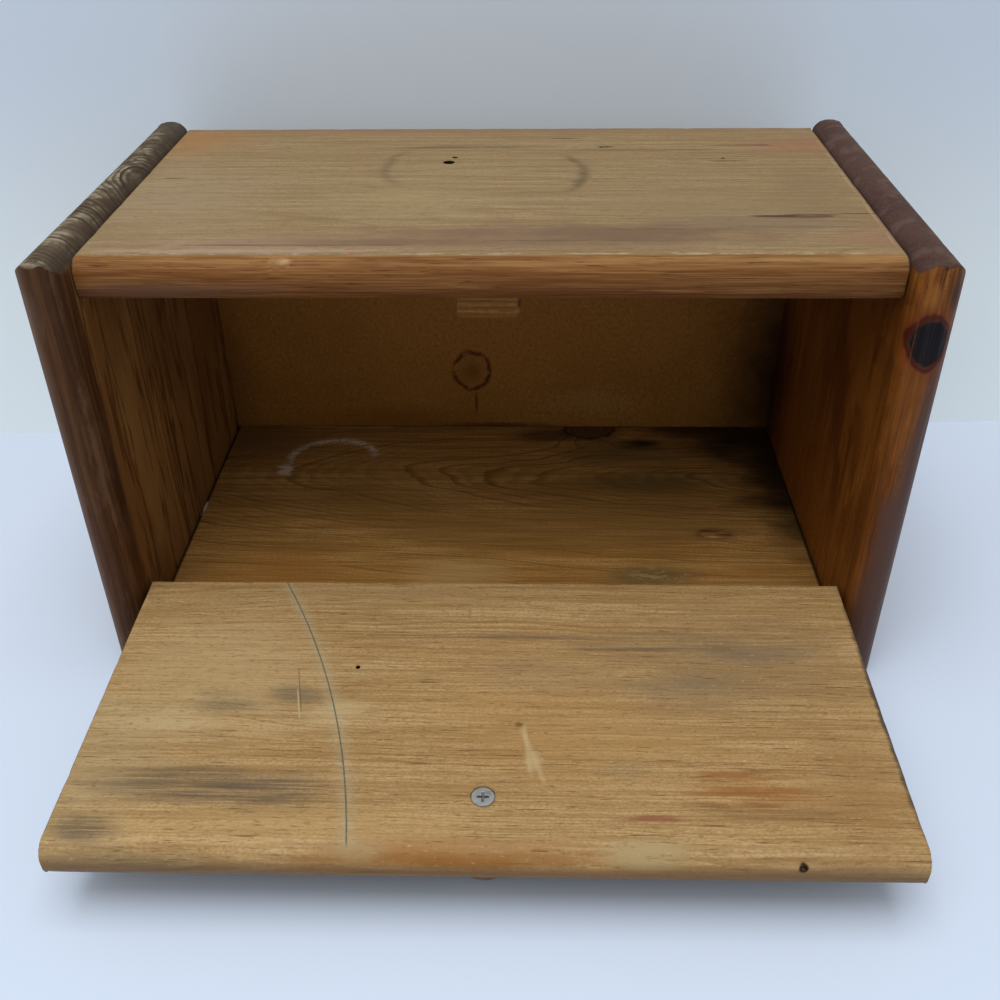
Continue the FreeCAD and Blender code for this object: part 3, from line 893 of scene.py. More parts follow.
for centre, radius, kept, reach, strength in (
        ((-2, 94, FACE), 46.0, (44, 92, FACE), (22, 42, 20), 0.85),
        ((-8, 103, FACE), 46.4, (-55, 104, FACE), (26, 40, 20), 0.5)):
    top_fine.patch(kept, reach, (0.14, 0.10, 0.052), strength, ragged=0.2, soft=0.5,
                   through=top_fine.ring(centre, radius, 4.6))
top_fine.patch((-2, 138, FACE), (44, 2.4, 8), (0.16, 0.115, 0.06), 0.6, ragged=0.8)
top_fine.mottle(600, 0.58, 0.70, (0.16, 0.105, 0.055), 0.45)
top_fine.mottle(160, 0.53, 0.68, (0.25, 0.165, 0.085), 0.4)
print("top: grain and stains laid")

# %% [markdown]
# ## The top's front edge and holes
# The moulded edge is handled, not wiped, so its orange polish is left. It is laid over
# the tan through a mask that starts where the round does. Where the two meet, flakes of
# polish have come off along a line. A second material could do the same, but the border
# would be a hard one.

# %% Edge, flakes and holes
round_start = top_fine.beyond("Y", -10.8, -13.0)
top_fine.lay(round_start, (0.31, 0.145, 0.042), 0.88)
top_fine.lay(top_fine.beyond("X", 20, 130), (0.36, 0.205, 0.070), 0.75, round_start)
top_fine.lay(top_fine.beyond("Y", -14.5, -18.3), (0.175, 0.056, 0.010), 0.75)
# the lower part of the moulded front, which turns down, is laid darker: painted shade
underside_shade = top_fine.times(round_start, top_fine.beyond("Z", 206, 199))
top_fine.lay(underside_shade, (0.115, 0.036, 0.009), 0.8)
top_fine.lay(grain["Fibre"], (0.115, 0.036, 0.008), 0.7, round_start)
top_fine.lay(grain["Late Wood"], (0.075, 0.024, 0.006), 0.3, round_start)
top_fine.lay(grain["Thread"], (0.42, 0.22, 0.08), 0.4, round_start)
top_fine.lay(grain["Dashes"], (0.06, 0.02, 0.006), 0.8, round_start)
top_fine.patch((-140, -18, 201), (60, 8, 5), (0.125, 0.062, 0.036), 0.6)
top_fine.patch((-57, -9, 213), (6, 4, 6), (0.34, 0.10, 0.05), 0.5)
top_fine.patches((((-60, -10.6, FACE), (150, 1.6, 1.4), (0.44, 0.33, 0.25), 0.75),
                  ((110, -10.4, FACE), (110, 1.4, 1.4), (0.46, 0.34, 0.20), 0.75)),
                 ragged=1.0, lump=160.0, soft=0.6, through=top_fine.clouds(420, 0.46, 0.60))
top_fine.patch((-100, -7.5, FACE), (90, 2.6, 1.4), (0.42, 0.30, 0.22), 0.55, ragged=1.2,
               lump=240.0, soft=0.6)
top_fine.patch((-86, -15.5, 213), (6, 2.6, 2), (0.46, 0.32, 0.17), 0.9, ragged=1.0, lump=250.0)
top_fine.lay(top_fine.beyond("Y", 169.6, 170.6), (0.10, 0.075, 0.05), 0.8)
for hand in (-1, 1):
    top_fine.lay(top_fine.beyond("X", hand * 170.0, hand * 170.8), (0.06, 0.035, 0.02), 0.9)
top_fine.patch((168.8, 60, FACE), (0.7, 110, 0.6), (0.45, 0.34, 0.23), 0.4, ragged=1.2)
# the bored holes are painted black below the face: painted shade in the holes
below_face = top_fine.beyond("Z", FACE - 0.3, FACE - 0.6)
for x, y, radius, depth, dark, shift in TOP_HOLES:
    top_fine.patch((x, y + shift, FACE), (dark, dark, 200), PAINTED_HOLE_SHADE, 1.0, ragged=0.0, soft=0.1,
                   through=below_face)
top_pine = top_fine.done()

# %% [markdown]
# ## The left side's finish
# The sides keep most of their old dark polish, and are the only boards with upright grain.
# The crest therefore shows end grain: on this board it is lined and greyish. The front
# edge, the crest and the back edge differ from the broad faces. They could be told apart
# by slots, but the finish fades from one into the next, so the masks come from the places
# and from the directions of the surface.

# %% The left side
left_fine = Finish("side_pine_left", (0.38, 0.180, 0.050), 0.5, sheen=0.1, streak=UPRIGHT)
grain = wood(left_fine, left_fine.along("Z", (88, -152)), (0.105, 0.044, 0.013),
             (0.20, 0.095, 0.032), (0.42, 0.24, 0.090), lines=0.5, Ring_Width=0.0034,
             Wander=0.0030, Lean=0.03, Dip=0.02)
left_fine.mottle(16, 0.47, 0.62, (0.19, 0.080, 0.021), 0.45)
left_fine.lay(left_fine.but(grain["Band"]), (0.15, 0.062, 0.018), 0.4)
left_fine.mottle(12, 0.48, 0.62, (0.46, 0.25, 0.080), 0.4)
flank = calc(left_fine.tree, "ABSOLUTE", calc(left_fine.tree, "SUBTRACT", grain["Band"], 0.5))
left_fine.lay(fade(left_fine.tree, flank, 0.22, 0.02), (0.085, 0.026, 0.007), 0.75)
front = left_fine.beyond("Y", -16, -23)
left_fine.lay(front, (0.075, 0.027, 0.009), 0.88)
left_fine.mottle(45, 0.46, 0.62, (0.105, 0.050, 0.026), 0.6, front)
left_fine.lay(grain["Fibre"], (0.038, 0.015, 0.007), 0.7, front)
left_fine.mottle(90, 0.53, 0.64, (0.13, 0.068, 0.038), 0.35, front)
left_fine.mottle(500, 0.60, 0.72, (0.17, 0.115, 0.08), 0.2, front)
# the front's side that faces left is laid lighter: painted light, as from the window lamp on the
# left
outer = left_fine.times(front, left_fine.facing("X", -1, 0.2, 0.75))
left_fine.lay(outer, (0.145, 0.078, 0.044), 0.7)
left_fine.rubbed((0.20, 0.11, 0.055), 0.1, 0.25)
left_fine.lay(left_fine.facing("Y", 1, 0.6, 0.9), (0.16, 0.10, 0.055), 0.6)
crest = left_fine.facing("Z", 1, 0.10, 0.45)
left_fine.lay(crest, (0.115, 0.085, 0.056), 0.97)
pale = left_fine.times(crest, left_fine.but(grain["Late Wood"]))
left_fine.mottle(110, 0.42, 0.6, (0.34, 0.295, 0.205), 0.8, pale)
left_fine.lay(grain["Late Wood"], (0.032, 0.022, 0.014), 1.0, crest)
left_fine.mottle(200, 0.55, 0.62, (0.05, 0.035, 0.022), 0.6, crest)
# the crest's inner side, turned into the case, is laid darker: painted shade
left_fine.lay(left_fine.facing("X", 1, 0.2, 0.8), (0.06, 0.04, 0.026), 0.8, crest)
# the crest's outer side is laid a paler grey: painted reflection at its edge
left_fine.lay(left_fine.facing("X", -1, 0.5, 0.95), (0.13, 0.12, 0.09), 0.6, crest)
left_fine.lay(left_fine.beyond("Y", 110, 170), (0.075, 0.062, 0.048), 0.65, crest)
left_fine.raise_by(left_fine.times(crest, grain["Late Wood"]), -0.3)
left_fine.dull(crest, 0.25)
side_pines = {"left_side": left_fine.done()}

# %% [markdown]
# ## The right side's finish
# The right board is cut from richer, orange wood, darker towards the top. It has a black
# knot on its front edge, sunk a little below the face, and its crest is smooth and
# red-brown. The knot group pushes the grain aside, which a spot of black would not do.

# %% The right side
KNOT_AT = (179.4, -32, 184.8)
KNOT_SIZE = (7.0, 14, 10.6)
right_fine = Finish("side_pine_right", (0.26, 0.082, 0.011), 0.45, sheen=0.12, streak=UPRIGHT)
burr = right_fine.use(KNOT, Centre=metres(KNOT_AT), Size=metres(KNOT_SIZE), Ragged=0.45)
grain = wood(right_fine, right_fine.along("Z", (-40, 240)), (0.085, 0.022, 0.006),
             (0.10, 0.028, 0.005), (0.38, 0.155, 0.026), Ring_Width=0.0042, Wander=0.0045,
             Lean=-0.10, Swell=calc(right_fine.tree, "MULTIPLY", burr["Push"], 0.007))
right_fine.mottle(15, 0.43, 0.60, (0.080, 0.020, 0.004), 0.7)
right_fine.mottle(27, 0.50, 0.62, (0.37, 0.130, 0.018), 0.6)
for start, end, colour, strength in ((90, 180, (0.070, 0.018, 0.004), 0.55),
                                     (100, 30, (0.30, 0.090, 0.012), 0.45)):
    right_fine.lay(right_fine.beyond("Y", -24, -18), colour, strength,
                   right_fine.beyond("Z", start, end))
right_fine.patch((171, 168, 60), (20, 50, 110), (0.035, 0.010, 0.003), 0.85, ragged=0.3, soft=0.9)
front = right_fine.beyond("Y", -24.5, -29.5)
right_fine.mottle(38, 0.42, 0.60, (0.185, 0.058, 0.008), 0.8, front)
right_fine.lay(grain["Fibre"], (0.07, 0.02, 0.006), 0.6, front)
right_fine.lay(grain["Thread"], (0.30, 0.12, 0.03), 0.25, front)
# the front's outer side, turned away from the lamps, is laid dull dark brown below the top:
# painted shade
outer = right_fine.times(front, right_fine.facing("X", 1, -0.1, 0.3))
outer = right_fine.times(outer, right_fine.beyond("Z", 190, 150))
right_fine.lay(outer, (0.095, 0.047, 0.033), 0.92)
right_fine.mottle(500, 0.60, 0.72, (0.18, 0.13, 0.11), 0.3, outer)
right_fine.patch((182, -33, 55), (11, 20, 95), (0.100, 0.052, 0.040), 0.85, soft=0.5)
right_fine.patches((((177, -33, 205), (4, 14, 9), (0.30, 0.115, 0.02), 0.7),
                    ((186, -31, 205), (4, 14, 13), (0.06, 0.024, 0.010), 0.9),
                    ((182, -31, 209), (2, 14, 10), (0.10, 0.035, 0.012), 0.7),
                    ((171, -33, 190), (5, 8, 9), (0.13, 0.02, 0.010), 0.9),
                    ((172, -30, 176), (4, 9, 9), (0.30, 0.08, 0.02), 0.6)))
right_fine.lay(burr["Halo"], (0.16, 0.036, 0.008), 0.6)
right_fine.lay(burr["Bark"], (0.055, 0.009, 0.005), 0.9)
right_fine.patch((174.5, -33, 184), (4.0, 14, 12), (0.055, 0.009, 0.006), 0.95, lump=150.0)
right_fine.lay(burr["Face"], (0.006, 0.004, 0.005), 1.0)
# pale blue-grey streaks on the knot's black face: painted highlights
right_fine.lay(grain["Thread"], (0.045, 0.035, 0.04), 0.25, burr["Face"])
right_fine.dull(burr["Face"], -0.05)
right_fine.raise_by(burr["Face"], -0.7)
right_fine.raise_by(right_fine.times(burr["Face"], grain["Fibre"]), 0.2)
right_fine.lay(right_fine.facing("Y", 1, 0.6, 0.9), (0.17, 0.09, 0.045), 0.6)
crest = right_fine.facing("Z", 1, 0.10, 0.4)
right_fine.rubbed((0.24, 0.10, 0.03), 0.1, 0.25)
right_fine.lay(crest, (0.078, 0.037, 0.028), 0.97)
right_fine.mottle(24, 0.47, 0.6, (0.055, 0.025, 0.02), 0.7, crest)
right_fine.mottle(90, 0.52, 0.64, (0.13, 0.075, 0.062), 0.6, crest)
right_fine.lay(grain["Dust"], (0.12, 0.085, 0.075), 0.3, crest)
# the crest's outer side is laid grey: painted reflection at its edge
right_fine.lay(right_fine.facing("X", 1, 0.5, 0.95), (0.075, 0.065, 0.05), 0.6, crest)
# a small hole in the crest is only painted, as a black spot: painted shade of a hole that is not
# cut
right_fine.patch((180, -31.5, 217), (4, 3, 1.6), PAINTED_HOLE_SHADE, 1.0, ragged=1.0, lump=300.0)
right_fine.dull(crest, 0.1)
side_pines["right_side"] = right_fine.done()

# %% [markdown]
# ## The floor's finish
# The floor is flat sawn, so its grain swings round in cathedrals. They could be drawn
# one by one; here the pith is tilted under the face instead, and they follow from it.
# One knot was cut through at the back edge and a small one lies to the right. A dish has
# left a pale arc at the back left, damp has darkened the back right, and crumbs lie in
# the joints. They are colour only, being too small to cast a shadow that shows.

# %% Floor pine
FLOOR = 25                  # height of its upper face, in mm
DAMP = (0.030, 0.017, 0.007)
OCHRE = (0.15, 0.10, 0.035)
GRIME = (0.016, 0.009, 0.005)
CHALK = (0.85, 0.78, 0.66)
floor_fine = Finish("floor_pine", (0.52, 0.27, 0.074), 0.5, sheen=0.15)
big = floor_fine.use(KNOT, Centre=metres((57, 168, FLOOR)), Size=metres((14, 11, 30)), Ragged=0.6)
small = floor_fine.use(KNOT, Centre=metres((122, 54, FLOOR)), Size=metres((8, 4.2, 30)),
                       Ragged=1.1)
swell = calc(floor_fine.tree, "ADD", calc(floor_fine.tree, "MULTIPLY", big["Push"], -0.020),
             calc(floor_fine.tree, "MULTIPLY", small["Push"], 0.005))
grain = wood(floor_fine, floor_fine.along("X", (112, -8)), (0.13, 0.058, 0.014),
             (0.23, 0.105, 0.022), (0.70, 0.43, 0.15), lines=0.75, Ring_Width=0.0021,
             Wander=0.0036, Lean=0.03, Dip=-0.17, Swell=swell)
floor_fine.mottle(15, 0.47, 0.64, (0.25, 0.12, 0.028), 0.55)
floor_fine.lay(floor_fine.beyond("Y", 60, -10), (0.26, 0.115, 0.026), 0.55)
floor_fine.patches((((172, 112, FLOOR), (46, 72, 10), DAMP, 1.0),
                    ((128, 166, FLOOR), (70, 26, 10), DAMP, 0.85),
                    ((188, 160, FLOOR), (105, 100, 10), DAMP, 1.0),
                    ((188, 72, FLOOR), (46, 78, 10), DAMP, 0.9),
                    ((85, 105, FLOOR), (60, 16, 10), OCHRE, 0.75),
                    ((75, 140, FLOOR), (50, 24, 10), OCHRE, 0.7),
                    ((90, 150, FLOOR), (22, 12, 10), DAMP, 0.95),
                    ((30, 160, FLOOR), (32, 12, 10), DAMP, 0.6),
                    ((-150, 150, FLOOR), (50, 30, 10), (0.20, 0.125, 0.055), 0.6),
                    ((84, 16, FLOOR), (36, 14, 10), OCHRE, 0.7),
                    ((-110, 20, FLOOR), (40, 30, 10), (0.30, 0.12, 0.025), 0.5),
                    ((-20, 20, FLOOR), (40, 18, 10), (0.52, 0.36, 0.15), 0.4)),
                   soft=0.85, lump=50.0)
for mark, bark, face, bold in ((big, (0.022, 0.010, 0.006), (0.15, 0.075, 0.035), 0.9),
                               (small, (0.060, 0.022, 0.008), (0.42, 0.22, 0.075), 0.35)):
    floor_fine.lay(mark["Halo"], tone(face, 0.5), 0.5)
    floor_fine.lay(mark["Face"], face, bold)
    floor_fine.lay(mark["Years"], bark, 0.5 * bold, mark["Face"])
    floor_fine.lay(mark["Bark"], bark, 0.9 * bold)
floor_fine.patches((((118, 56.5, FLOOR), (9, 1.5, 8), (0.13, 0.040, 0.012), 0.9),
                    ((127, 53, FLOOR), (7, 1.4, 8), (0.15, 0.050, 0.014), 0.9),
                    ((120, 51, FLOOR), (7, 1.2, 8), (0.66, 0.44, 0.19), 0.6)),
                   ragged=0.9, lump=300.0)
wax = floor_fine.ring((-102, 123.5, FLOOR), 29, 4.2, lump=130.0)
smear = floor_fine.times(wax, calc(floor_fine.tree, "MULTIPLY_ADD", grain["Dust"], -0.8, 1.0))
floor_fine.patch((-106, 146, FLOOR), (36, 34, 10), CHALK, 1.0, ragged=0.2, soft=0.3,
                 through=smear)
floor_fine.patch((-130, 118, FLOOR), (6, 9, 10), CHALK, 0.7, ragged=1.2, lump=300.0)
floor_fine.patch((84, 14, FLOOR), (26, 9, 10), (0.62, 0.46, 0.24), 0.25, ragged=1.5, lump=300.0,
                 through=floor_fine.clouds(500, 0.5, 0.6))
floor_fine.patch((0, 172, FLOOR), (300, 3.0, 10), GRIME, 0.8, ragged=1.0)
for hand in (-1, 1):
    floor_fine.lay(floor_fine.beyond("X", hand * 168.6, hand * 170.2), GRIME, 0.95)
floor_fine.patch((-170, 77, FLOOR), (1.6, 9, 10), (0.65, 0.55, 0.45), 1.0, ragged=1.2, lump=300.0)
floor_pine = floor_fine.done()

# %% [markdown]
# ## Hardboard
# Pressed wood fibre: smooth and mottled on the inside, with the print of a wire screen
# on the back. A cup has left a ring on the inside, and a drop has run down from it. The
# screen could be a mesh of real ridges, but they are a tenth of a millimetre high, so two
# crossed sine waves in the relief do as well. The outside is laid over the inside's
# layers at full strength, so that nothing shows through from one to the other.

# %% Hardboard
EVEN = (1, 1, 1)            # lumps that are as long as wide, for a board without grain
panel_fine = Finish("hardboard", (0.34, 0.145, 0.026), 0.6, sheen=0.12, streak=EVEN)
panel_fine.mottle(9, 0.4, 0.65, (0.40, 0.185, 0.040), 0.7)
panel_fine.mottle(420, 0.46, 0.62, (0.24, 0.10, 0.021), 0.45)
panel_fine.mottle(900, 0.56, 0.68, (0.58, 0.37, 0.14), 0.4)
INSIDE = 171.3
STAIN = (0.10, 0.032, 0.006)
cup = panel_fine.ring((-17.8, INSIDE, 64.7), 11.2, 2.4, (1.0, 1.0, 1.14), lump=130.0)
panel_fine.lay(cup, STAIN, 1.0)
panel_fine.patches((((-17.8, INSIDE, 64.7), (12, 4, 13.5), STAIN, 0.45),
                    ((-15.5, INSIDE, 41), (1.5, 4, 13), STAIN, 0.9),
                    ((-4, INSIDE, 25.5), (60, 4, 2.8), STAIN, 0.9),
                    ((-60, INSIDE, 30), (90, 4, 14), (0.19, 0.07, 0.012), 0.5),
                    ((-185, INSIDE, 60), (40, 4, 120), STAIN, 0.6),
                    ((0, INSIDE, 190), (260, 4, 45), (0.18, 0.070, 0.011), 0.75)), ragged=0.25,
                   soft=0.95)
panel_fine.patch((192, INSIDE, 60), (74, 40, 160), (0.018, 0.007, 0.002), 1.0, ragged=0.15,
                 soft=0.85)
panel_fine.patch((60, INSIDE, 42), (40, 4, 12), (0.60, 0.40, 0.17), 0.12, ragged=1.3, lump=420.0)
MESH_PITCH = 1.3 * MM       # of the screen that the wet board was pressed on
waves = []
for axis in "XZ":
    turns = calc(panel_fine.tree, "MULTIPLY", panel_fine.parts[axis], 2 * pi / MESH_PITCH)
    waves.append(calc(panel_fine.tree, "SINE", turns))
behind = panel_fine.beyond("Y", 173.2, 174.0)
screen = panel_fine.times(calc(panel_fine.tree, "MULTIPLY", *waves), behind)
panel_fine.lay(behind, (0.25, 0.145, 0.068), 1.0)
panel_fine.mottle(14, 0.42, 0.62, (0.19, 0.105, 0.048), 0.7, behind)
panel_fine.mottle(420, 0.5, 0.66, (0.33, 0.21, 0.11), 0.4, behind)
panel_fine.lay(screen, (0.11, 0.06, 0.027), 0.5)
panel_fine.raise_by(screen, 0.12)
panel_fine.raise_by(panel_fine.clouds(420, 0.3, 0.7), 0.03)
hardboard = panel_fine.done()

# %% [markdown]
# ## Stop block and knob
# The stop is an offcut of cleaner pine with one small dark spot on its front. The knob was
# turned from pine and has darkened in the hand, and many hands have given it some gloss:
# a thin coat over the rough wood shows that better than smooth wood would.

# %% Small pieces of wood
stop_fine = Finish("stop_pine", (0.23, 0.085, 0.013), 0.5, sheen=0.1)
wood(stop_fine, stop_fine.along("X", (30, 160)), (0.09, 0.030, 0.005), (0.14, 0.050, 0.008),
     (0.33, 0.16, 0.04), Ring_Width=0.0017, Wander=0.0016)
stop_fine.patch((13.4, -1.9, 189), (1.4, 4, 4), (0.05, 0.018, 0.005), 0.9, lump=300.0)
stop_pine = stop_fine.done()

knob_fine = Finish("knob_wood", (0.27, 0.145, 0.058), 0.38, streak=UPRIGHT,
                   **{"Coat Weight": 0.15})
wood(knob_fine, knob_fine.along("Z", (-115, 20)), (0.12, 0.055, 0.02), (0.18, 0.09, 0.034),
     (0.36, 0.22, 0.11), Ring_Width=0.0022)
knob_fine.mottle(60, 0.5, 0.7, (0.12, 0.06, 0.025), 0.5)
knob_wood = knob_fine.done()

# %% [markdown]
# ## The side boards
# The sides are the widest boards and carry all the others. Their front and top edges are
# almost half-round. Each takes its corners from its CAD node, so that it changes size with
# it, and is rounded as that node is. The node itself could be dressed, but its big faces
# have nothing to wear, so a new board replaces it in view. A bore is left over each pin.

# %% Dress a piece and build the sides
X, Y, Z = 0, 1, 2
UP = (0, 0, 1)
SIDE_ROUND = 9.3 * MM
SIDE_FOOT = 2 * MM          # the upright back arris
PIN_BORE = 2.15 * MM
PIN_SUNK = 1.6 * MM         # how deep the bore is cut, past the end of the pin


def dress(piece, body, slot, finish, *nodes):
    """Give a piece its finish and body, and let it stand for its CAD nodes. The slot is not used.
    """
    piece.data.materials.clear()
    piece.data.materials.append(finish)
    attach(piece, body)
    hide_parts(*nodes)


for hand, node in ((-1, "left_side"), (1, "right_side")):
    low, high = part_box(node)
    rounds = [(Z, (-1, -1), SIDE_ROUND), (Z, (1, -1), SIDE_ROUND),
              (Y, (-1, 1), SIDE_ROUND), (Y, (1, 1), SIDE_ROUND), (X, (-1, 1), SIDE_FOOT)]
    piece = board(node + "_board", low, high, rounds, (9 * MM, 9 * MM, 9 * MM), 3 + hand)
    pin_low, pin_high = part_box(node.replace("side", "pivot_pin"))
    outer = high.x if hand > 0 else low.x
    pin_end = (outer, (pin_low.y + pin_high.y) / 2, (pin_low.z + pin_high.z) / 2)
    bore(piece, [(pin_end, (1, 0, 0), PIN_BORE, PIN_SUNK)])
    dress(piece, "case", "side_pine", side_pines[node], node)

# %% [markdown]
# ## The top board
# It is let down between the sides, and both arrises of its front are moulded. Someone has
# drilled into it and nailed things to it. A normal map could fake the holes, but light
# would still fall on their bottoms, so they are bored, at the places that the finish
# already keeps in TOP_HOLES. The finish also paints them black inside, as painted shade.

# %% The top board, with its holes and a chip
TOP_ROUND = 7.5 * MM
low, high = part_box("top_board")
rounds = [(X, (-1, 1), TOP_ROUND), (X, (-1, -1), TOP_ROUND)]
top = board("top", low, high, rounds, (3 * MM, 9 * MM, 9 * MM), 11)
chip = (-86 * MM, low.y + 2 * MM, high.z - 2 * MM)
scoop(top, chip, 6 * MM, 1.3 * MM, (0, 0.7, -0.7))
bore(top, [((x * MM, y * MM, high.z), UP, radius * MM, depth * MM)
           for x, y, radius, depth, dark, shift in TOP_HOLES])
dress(top, "case", "top_pine", top_pine, "top_board")

# %% [markdown]
# ## The floor, the back and the stop
# The floor lies between the sides, with its front arrises eased. The back is a sheet and
# the stop a small block, so they get finer grids and lighter wear from the same function,
# which saves writing a second one.

# %% The floor, the back and the stop
FLOOR_ROUND = 2 * MM
STOP_ROUND = 2.5 * MM
SMALL_EASE = 0.4 * MM       # of the thin sheet and the small block
low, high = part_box("floor_board")
floor = board("floor", low, high, [(X, (-1, 1), FLOOR_ROUND), (X, (-1, -1), FLOOR_ROUND)],
              (3 * MM, 3 * MM, 3 * MM), 17)
dress(floor, "case", "floor_pine", floor_pine, "floor_board")

low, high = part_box("back_panel")
back = board("back", low, high, [], (2 * MM, 1 * MM, 2 * MM), 23, ease=SMALL_EASE, nick=0.2 * MM)
dress(back, "case", "hardboard", hardboard, "back_panel")

low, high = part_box("door_stop")
stop = board("stop", low, high, [(Y, (-1, -1), STOP_ROUND), (Y, (1, -1), STOP_ROUND)],
             (3 * MM, 2 * MM, 3 * MM), 29, step=1.5 * MM, ease=SMALL_EASE)
dress(stop, "case", "stop_pine", stop_pine, "door_stop")

# %% [markdown]
# ## The flap
# The flap lies a degree and a half below level, because it rests on its knob. It could be
# built where it lies, but then every mark and hole would need that angle too. It is built
# flat in its own coordinates, with Y = 0 at the hinge edge and Z = 0 on the inner face,
# and then turned into place, so that its finish can be laid out with a ruler. The angle
# and the length are worked out from the hinge and the box of the CAD node.

# %% The flap board
FLAP_STOCK = 19 * MM
FLAP_INSET = 9.5 * MM       # pin centre in from the hinge edge
HEEL_ROUND = 8 * MM
KNOB_INSET = 28.5 * MM      # knob centre in from the free edge
NOSE_WEAR = 0.15 * MM       # the free edge has lost this much
SCREW_SEAT = 4.95 * MM
SCREW_BORE = 2.6 * MM
HINGE_BORE = 2.1 * MM
hinge = Vector(frame["record"]["behaviour"]["joints"][0]["pos_m"])
box_low, box_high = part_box("flap_board")
half = FLAP_STOCK / 2
nose_y = hinge.y - (box_low.y + half)
nose_z = hinge.z - (box_low.z + half)
droop = atan2(nose_z, nose_y)
flap_length = FLAP_INSET + hypot(nose_y, nose_z) + half
FLAP_FRAME = (Matrix.Translation(hinge) @ Matrix.Rotation(droop, 4, "X")
              @ Matrix.Translation((0, FLAP_INSET, half)))
print("flap", round(flap_length / MM, 2), "mm long, droops", round(degrees(droop), 3))

low = Vector((box_low.x, -flap_length + NOSE_WEAR, -FLAP_STOCK))
high = Vector((box_high.x, 0, 0))
rounds = [(X, (-1, 1), half), (X, (-1, -1), half), (X, (1, -1), HEEL_ROUND)]
flap = board("flap", low, high, rounds, (4 * MM, 9.4 * MM, 9.4 * MM), 31)
knob_y = -flap_length + KNOB_INSET
pit_mouth = (PIT[0] * MM, -flap_length + 0.9 * MM, PIT[2] * MM)
bore(flap, [((0, knob_y, 0), UP, SCREW_SEAT, 0.9 * MM),
            ((0, knob_y, 0), UP, SCREW_BORE, 12 * MM),
            (metres(NAIL_HOLE), UP, 1.1 * MM, 5 * MM),
            (pit_mouth, (0, 1, -0.4), 1.2 * MM, 3 * MM),
            ((low.x, -FLAP_INSET, -half), (1, 0, 0), HINGE_BORE, 3 * MM),
            ((high.x, -FLAP_INSET, -half), (1, 0, 0), HINGE_BORE, 3 * MM)])
scoop(flap, metres((-83, -70, 0)), 5 * MM, 0.5 * MM, (0, 0, -1))
scoop(flap, (45 * MM, -flap_length + 3 * MM, -2 * MM), 8 * MM, 0.8 * MM, (0, 0.7, -0.7))
flap.matrix_world = FLAP_FRAME
dress(flap, "flap", "flap_pine", flap_pine, "flap_board")

# %% [markdown]
# ## The knob
# The knob is turned in one piece: a foot against the flap, a neck, a head with a round
# edge and a shallow crown. On a lathe its outline is swept round an axis. The Screw
# modifier does that too, but from an outline drawn by hand; here each stretch is a
# formula between named radii, so a stouter knob is one number away.

# %% Turn the knob
FOOT_RADIUS = 8.0           # radii, and depths below the flap, all in mm
NECK_RADIUS = 5.9
NECK_DEPTH = 8.5
HEAD_RADIUS = 11.9
FLARE = 9.0                 # from the neck to where the head is widest
EDGE_DEPTH = 18.0
EDGE_ROUND = 3.5
EDGE_DROP = 3.4
CROWN_RADIUS = 9.0
CROWN_RISE = 1.8
TIP_DEPTH = 23.2


def outline():
    """(depth below the flap, radius) down the knob."""
    waist = FOOT_RADIUS - NECK_RADIUS
    spread = HEAD_RADIUS - NECK_RADIUS
    points = [(0.0, 0.0), (0.0, FOOT_RADIUS)]
    for t in np.linspace(0.1, 1, 7):
        points.append((NECK_DEPTH * t, FOOT_RADIUS - waist * sin(t * pi / 2)))
    for t in np.linspace(0.12, 1, 9):
        points.append((NECK_DEPTH + FLARE * t, NECK_RADIUS + spread * t ** 1.5))
    for turn in np.linspace(0.15, 1.4, 8):
        radius = HEAD_RADIUS - EDGE_ROUND + EDGE_ROUND * cos(turn)
        points.append((EDGE_DEPTH + EDGE_DROP * sin(turn), radius))
    for t in (0.8, 0.55, 0.3):
        points.append((TIP_DEPTH - CROWN_RISE * t * t, CROWN_RADIUS * t))
    points.append((TIP_DEPTH, 0.0))
    return points


def turned(name, sections, sides=64):
    """A solid of revolution about its own Z, drawn downwards from the origin."""
    points, faces = [], []
    for depth, radius in sections[1:-1]:
        for i in range(sides):
            angle = 2 * pi * i / sides
            points.append((radius * MM * cos(angle), radius * MM * sin(angle), -depth * MM))
    rings = len(sections) - 2
    for r in range(rings - 1):
        for i in range(sides):
            j = (i + 1) % sides
            faces.append([r * sides + i, (r + 1) * sides + i, (r + 1) * sides + j, r * sides + j])
    top_point, end_point = len(points), len(points) + 1
    points += [(0, 0, -sections[0][0] * MM), (0, 0, -sections[-1][0] * MM)]
    for i in range(sides):
        j = (i + 1) % sides
        faces.append([top_point, i, j])
        faces.append([end_point, (rings - 1) * sides + j, (rings - 1) * sides + i])
    return cut_loose(name, points, faces, [0.0] * len(points))


knob = turned("knob", outline())
print("knob", TIP_DEPTH, "mm long,", len(knob.data.polygons), "faces")
knob.matrix_world = FLAP_FRAME @ Matrix.Translation((0, knob_y, -FLAP_STOCK))
dress(knob, "flap", "knob_wood", knob_wood, "flap_knob")

# %% [markdown]
# ## Metal parts
# Nails, tacks, brads, pins and the screw are small and sharp. They could be modelled
# again, but wear would not show on them, so the CAD shapes are shown as they are and only
# get their finishes. The screw is zinc plated, with dirt in its cross: the dirt is laid
# below a level, measured straight into the flap. The nails and pins are plain steel that
# has gone brown-grey.

# %% Finish the fasteners
def metal(name, colour, roughness, spot_colour, spots):
    """Metal with dull clouds, spots of rust or dirt, and a faint relief."""
    finish = Finish(name, colour, roughness, Metallic=1.0)
    finish.mottle(500, 0.4, 0.7, tone(colour, 0.7), 0.5)
    finish.mottle(300, 0.55, 0.68, spot_colour, spots)
    finish.raise_by(finish.clouds(1500, 0.3, 0.7), 0.012)
    return finish


def give_finish(node, finish):
    """Put a finish on a CAD node that is shown as it is."""
    piece = bpy.data.objects[node]
    piece.data.materials.clear()
    piece.data.materials.append(finish)


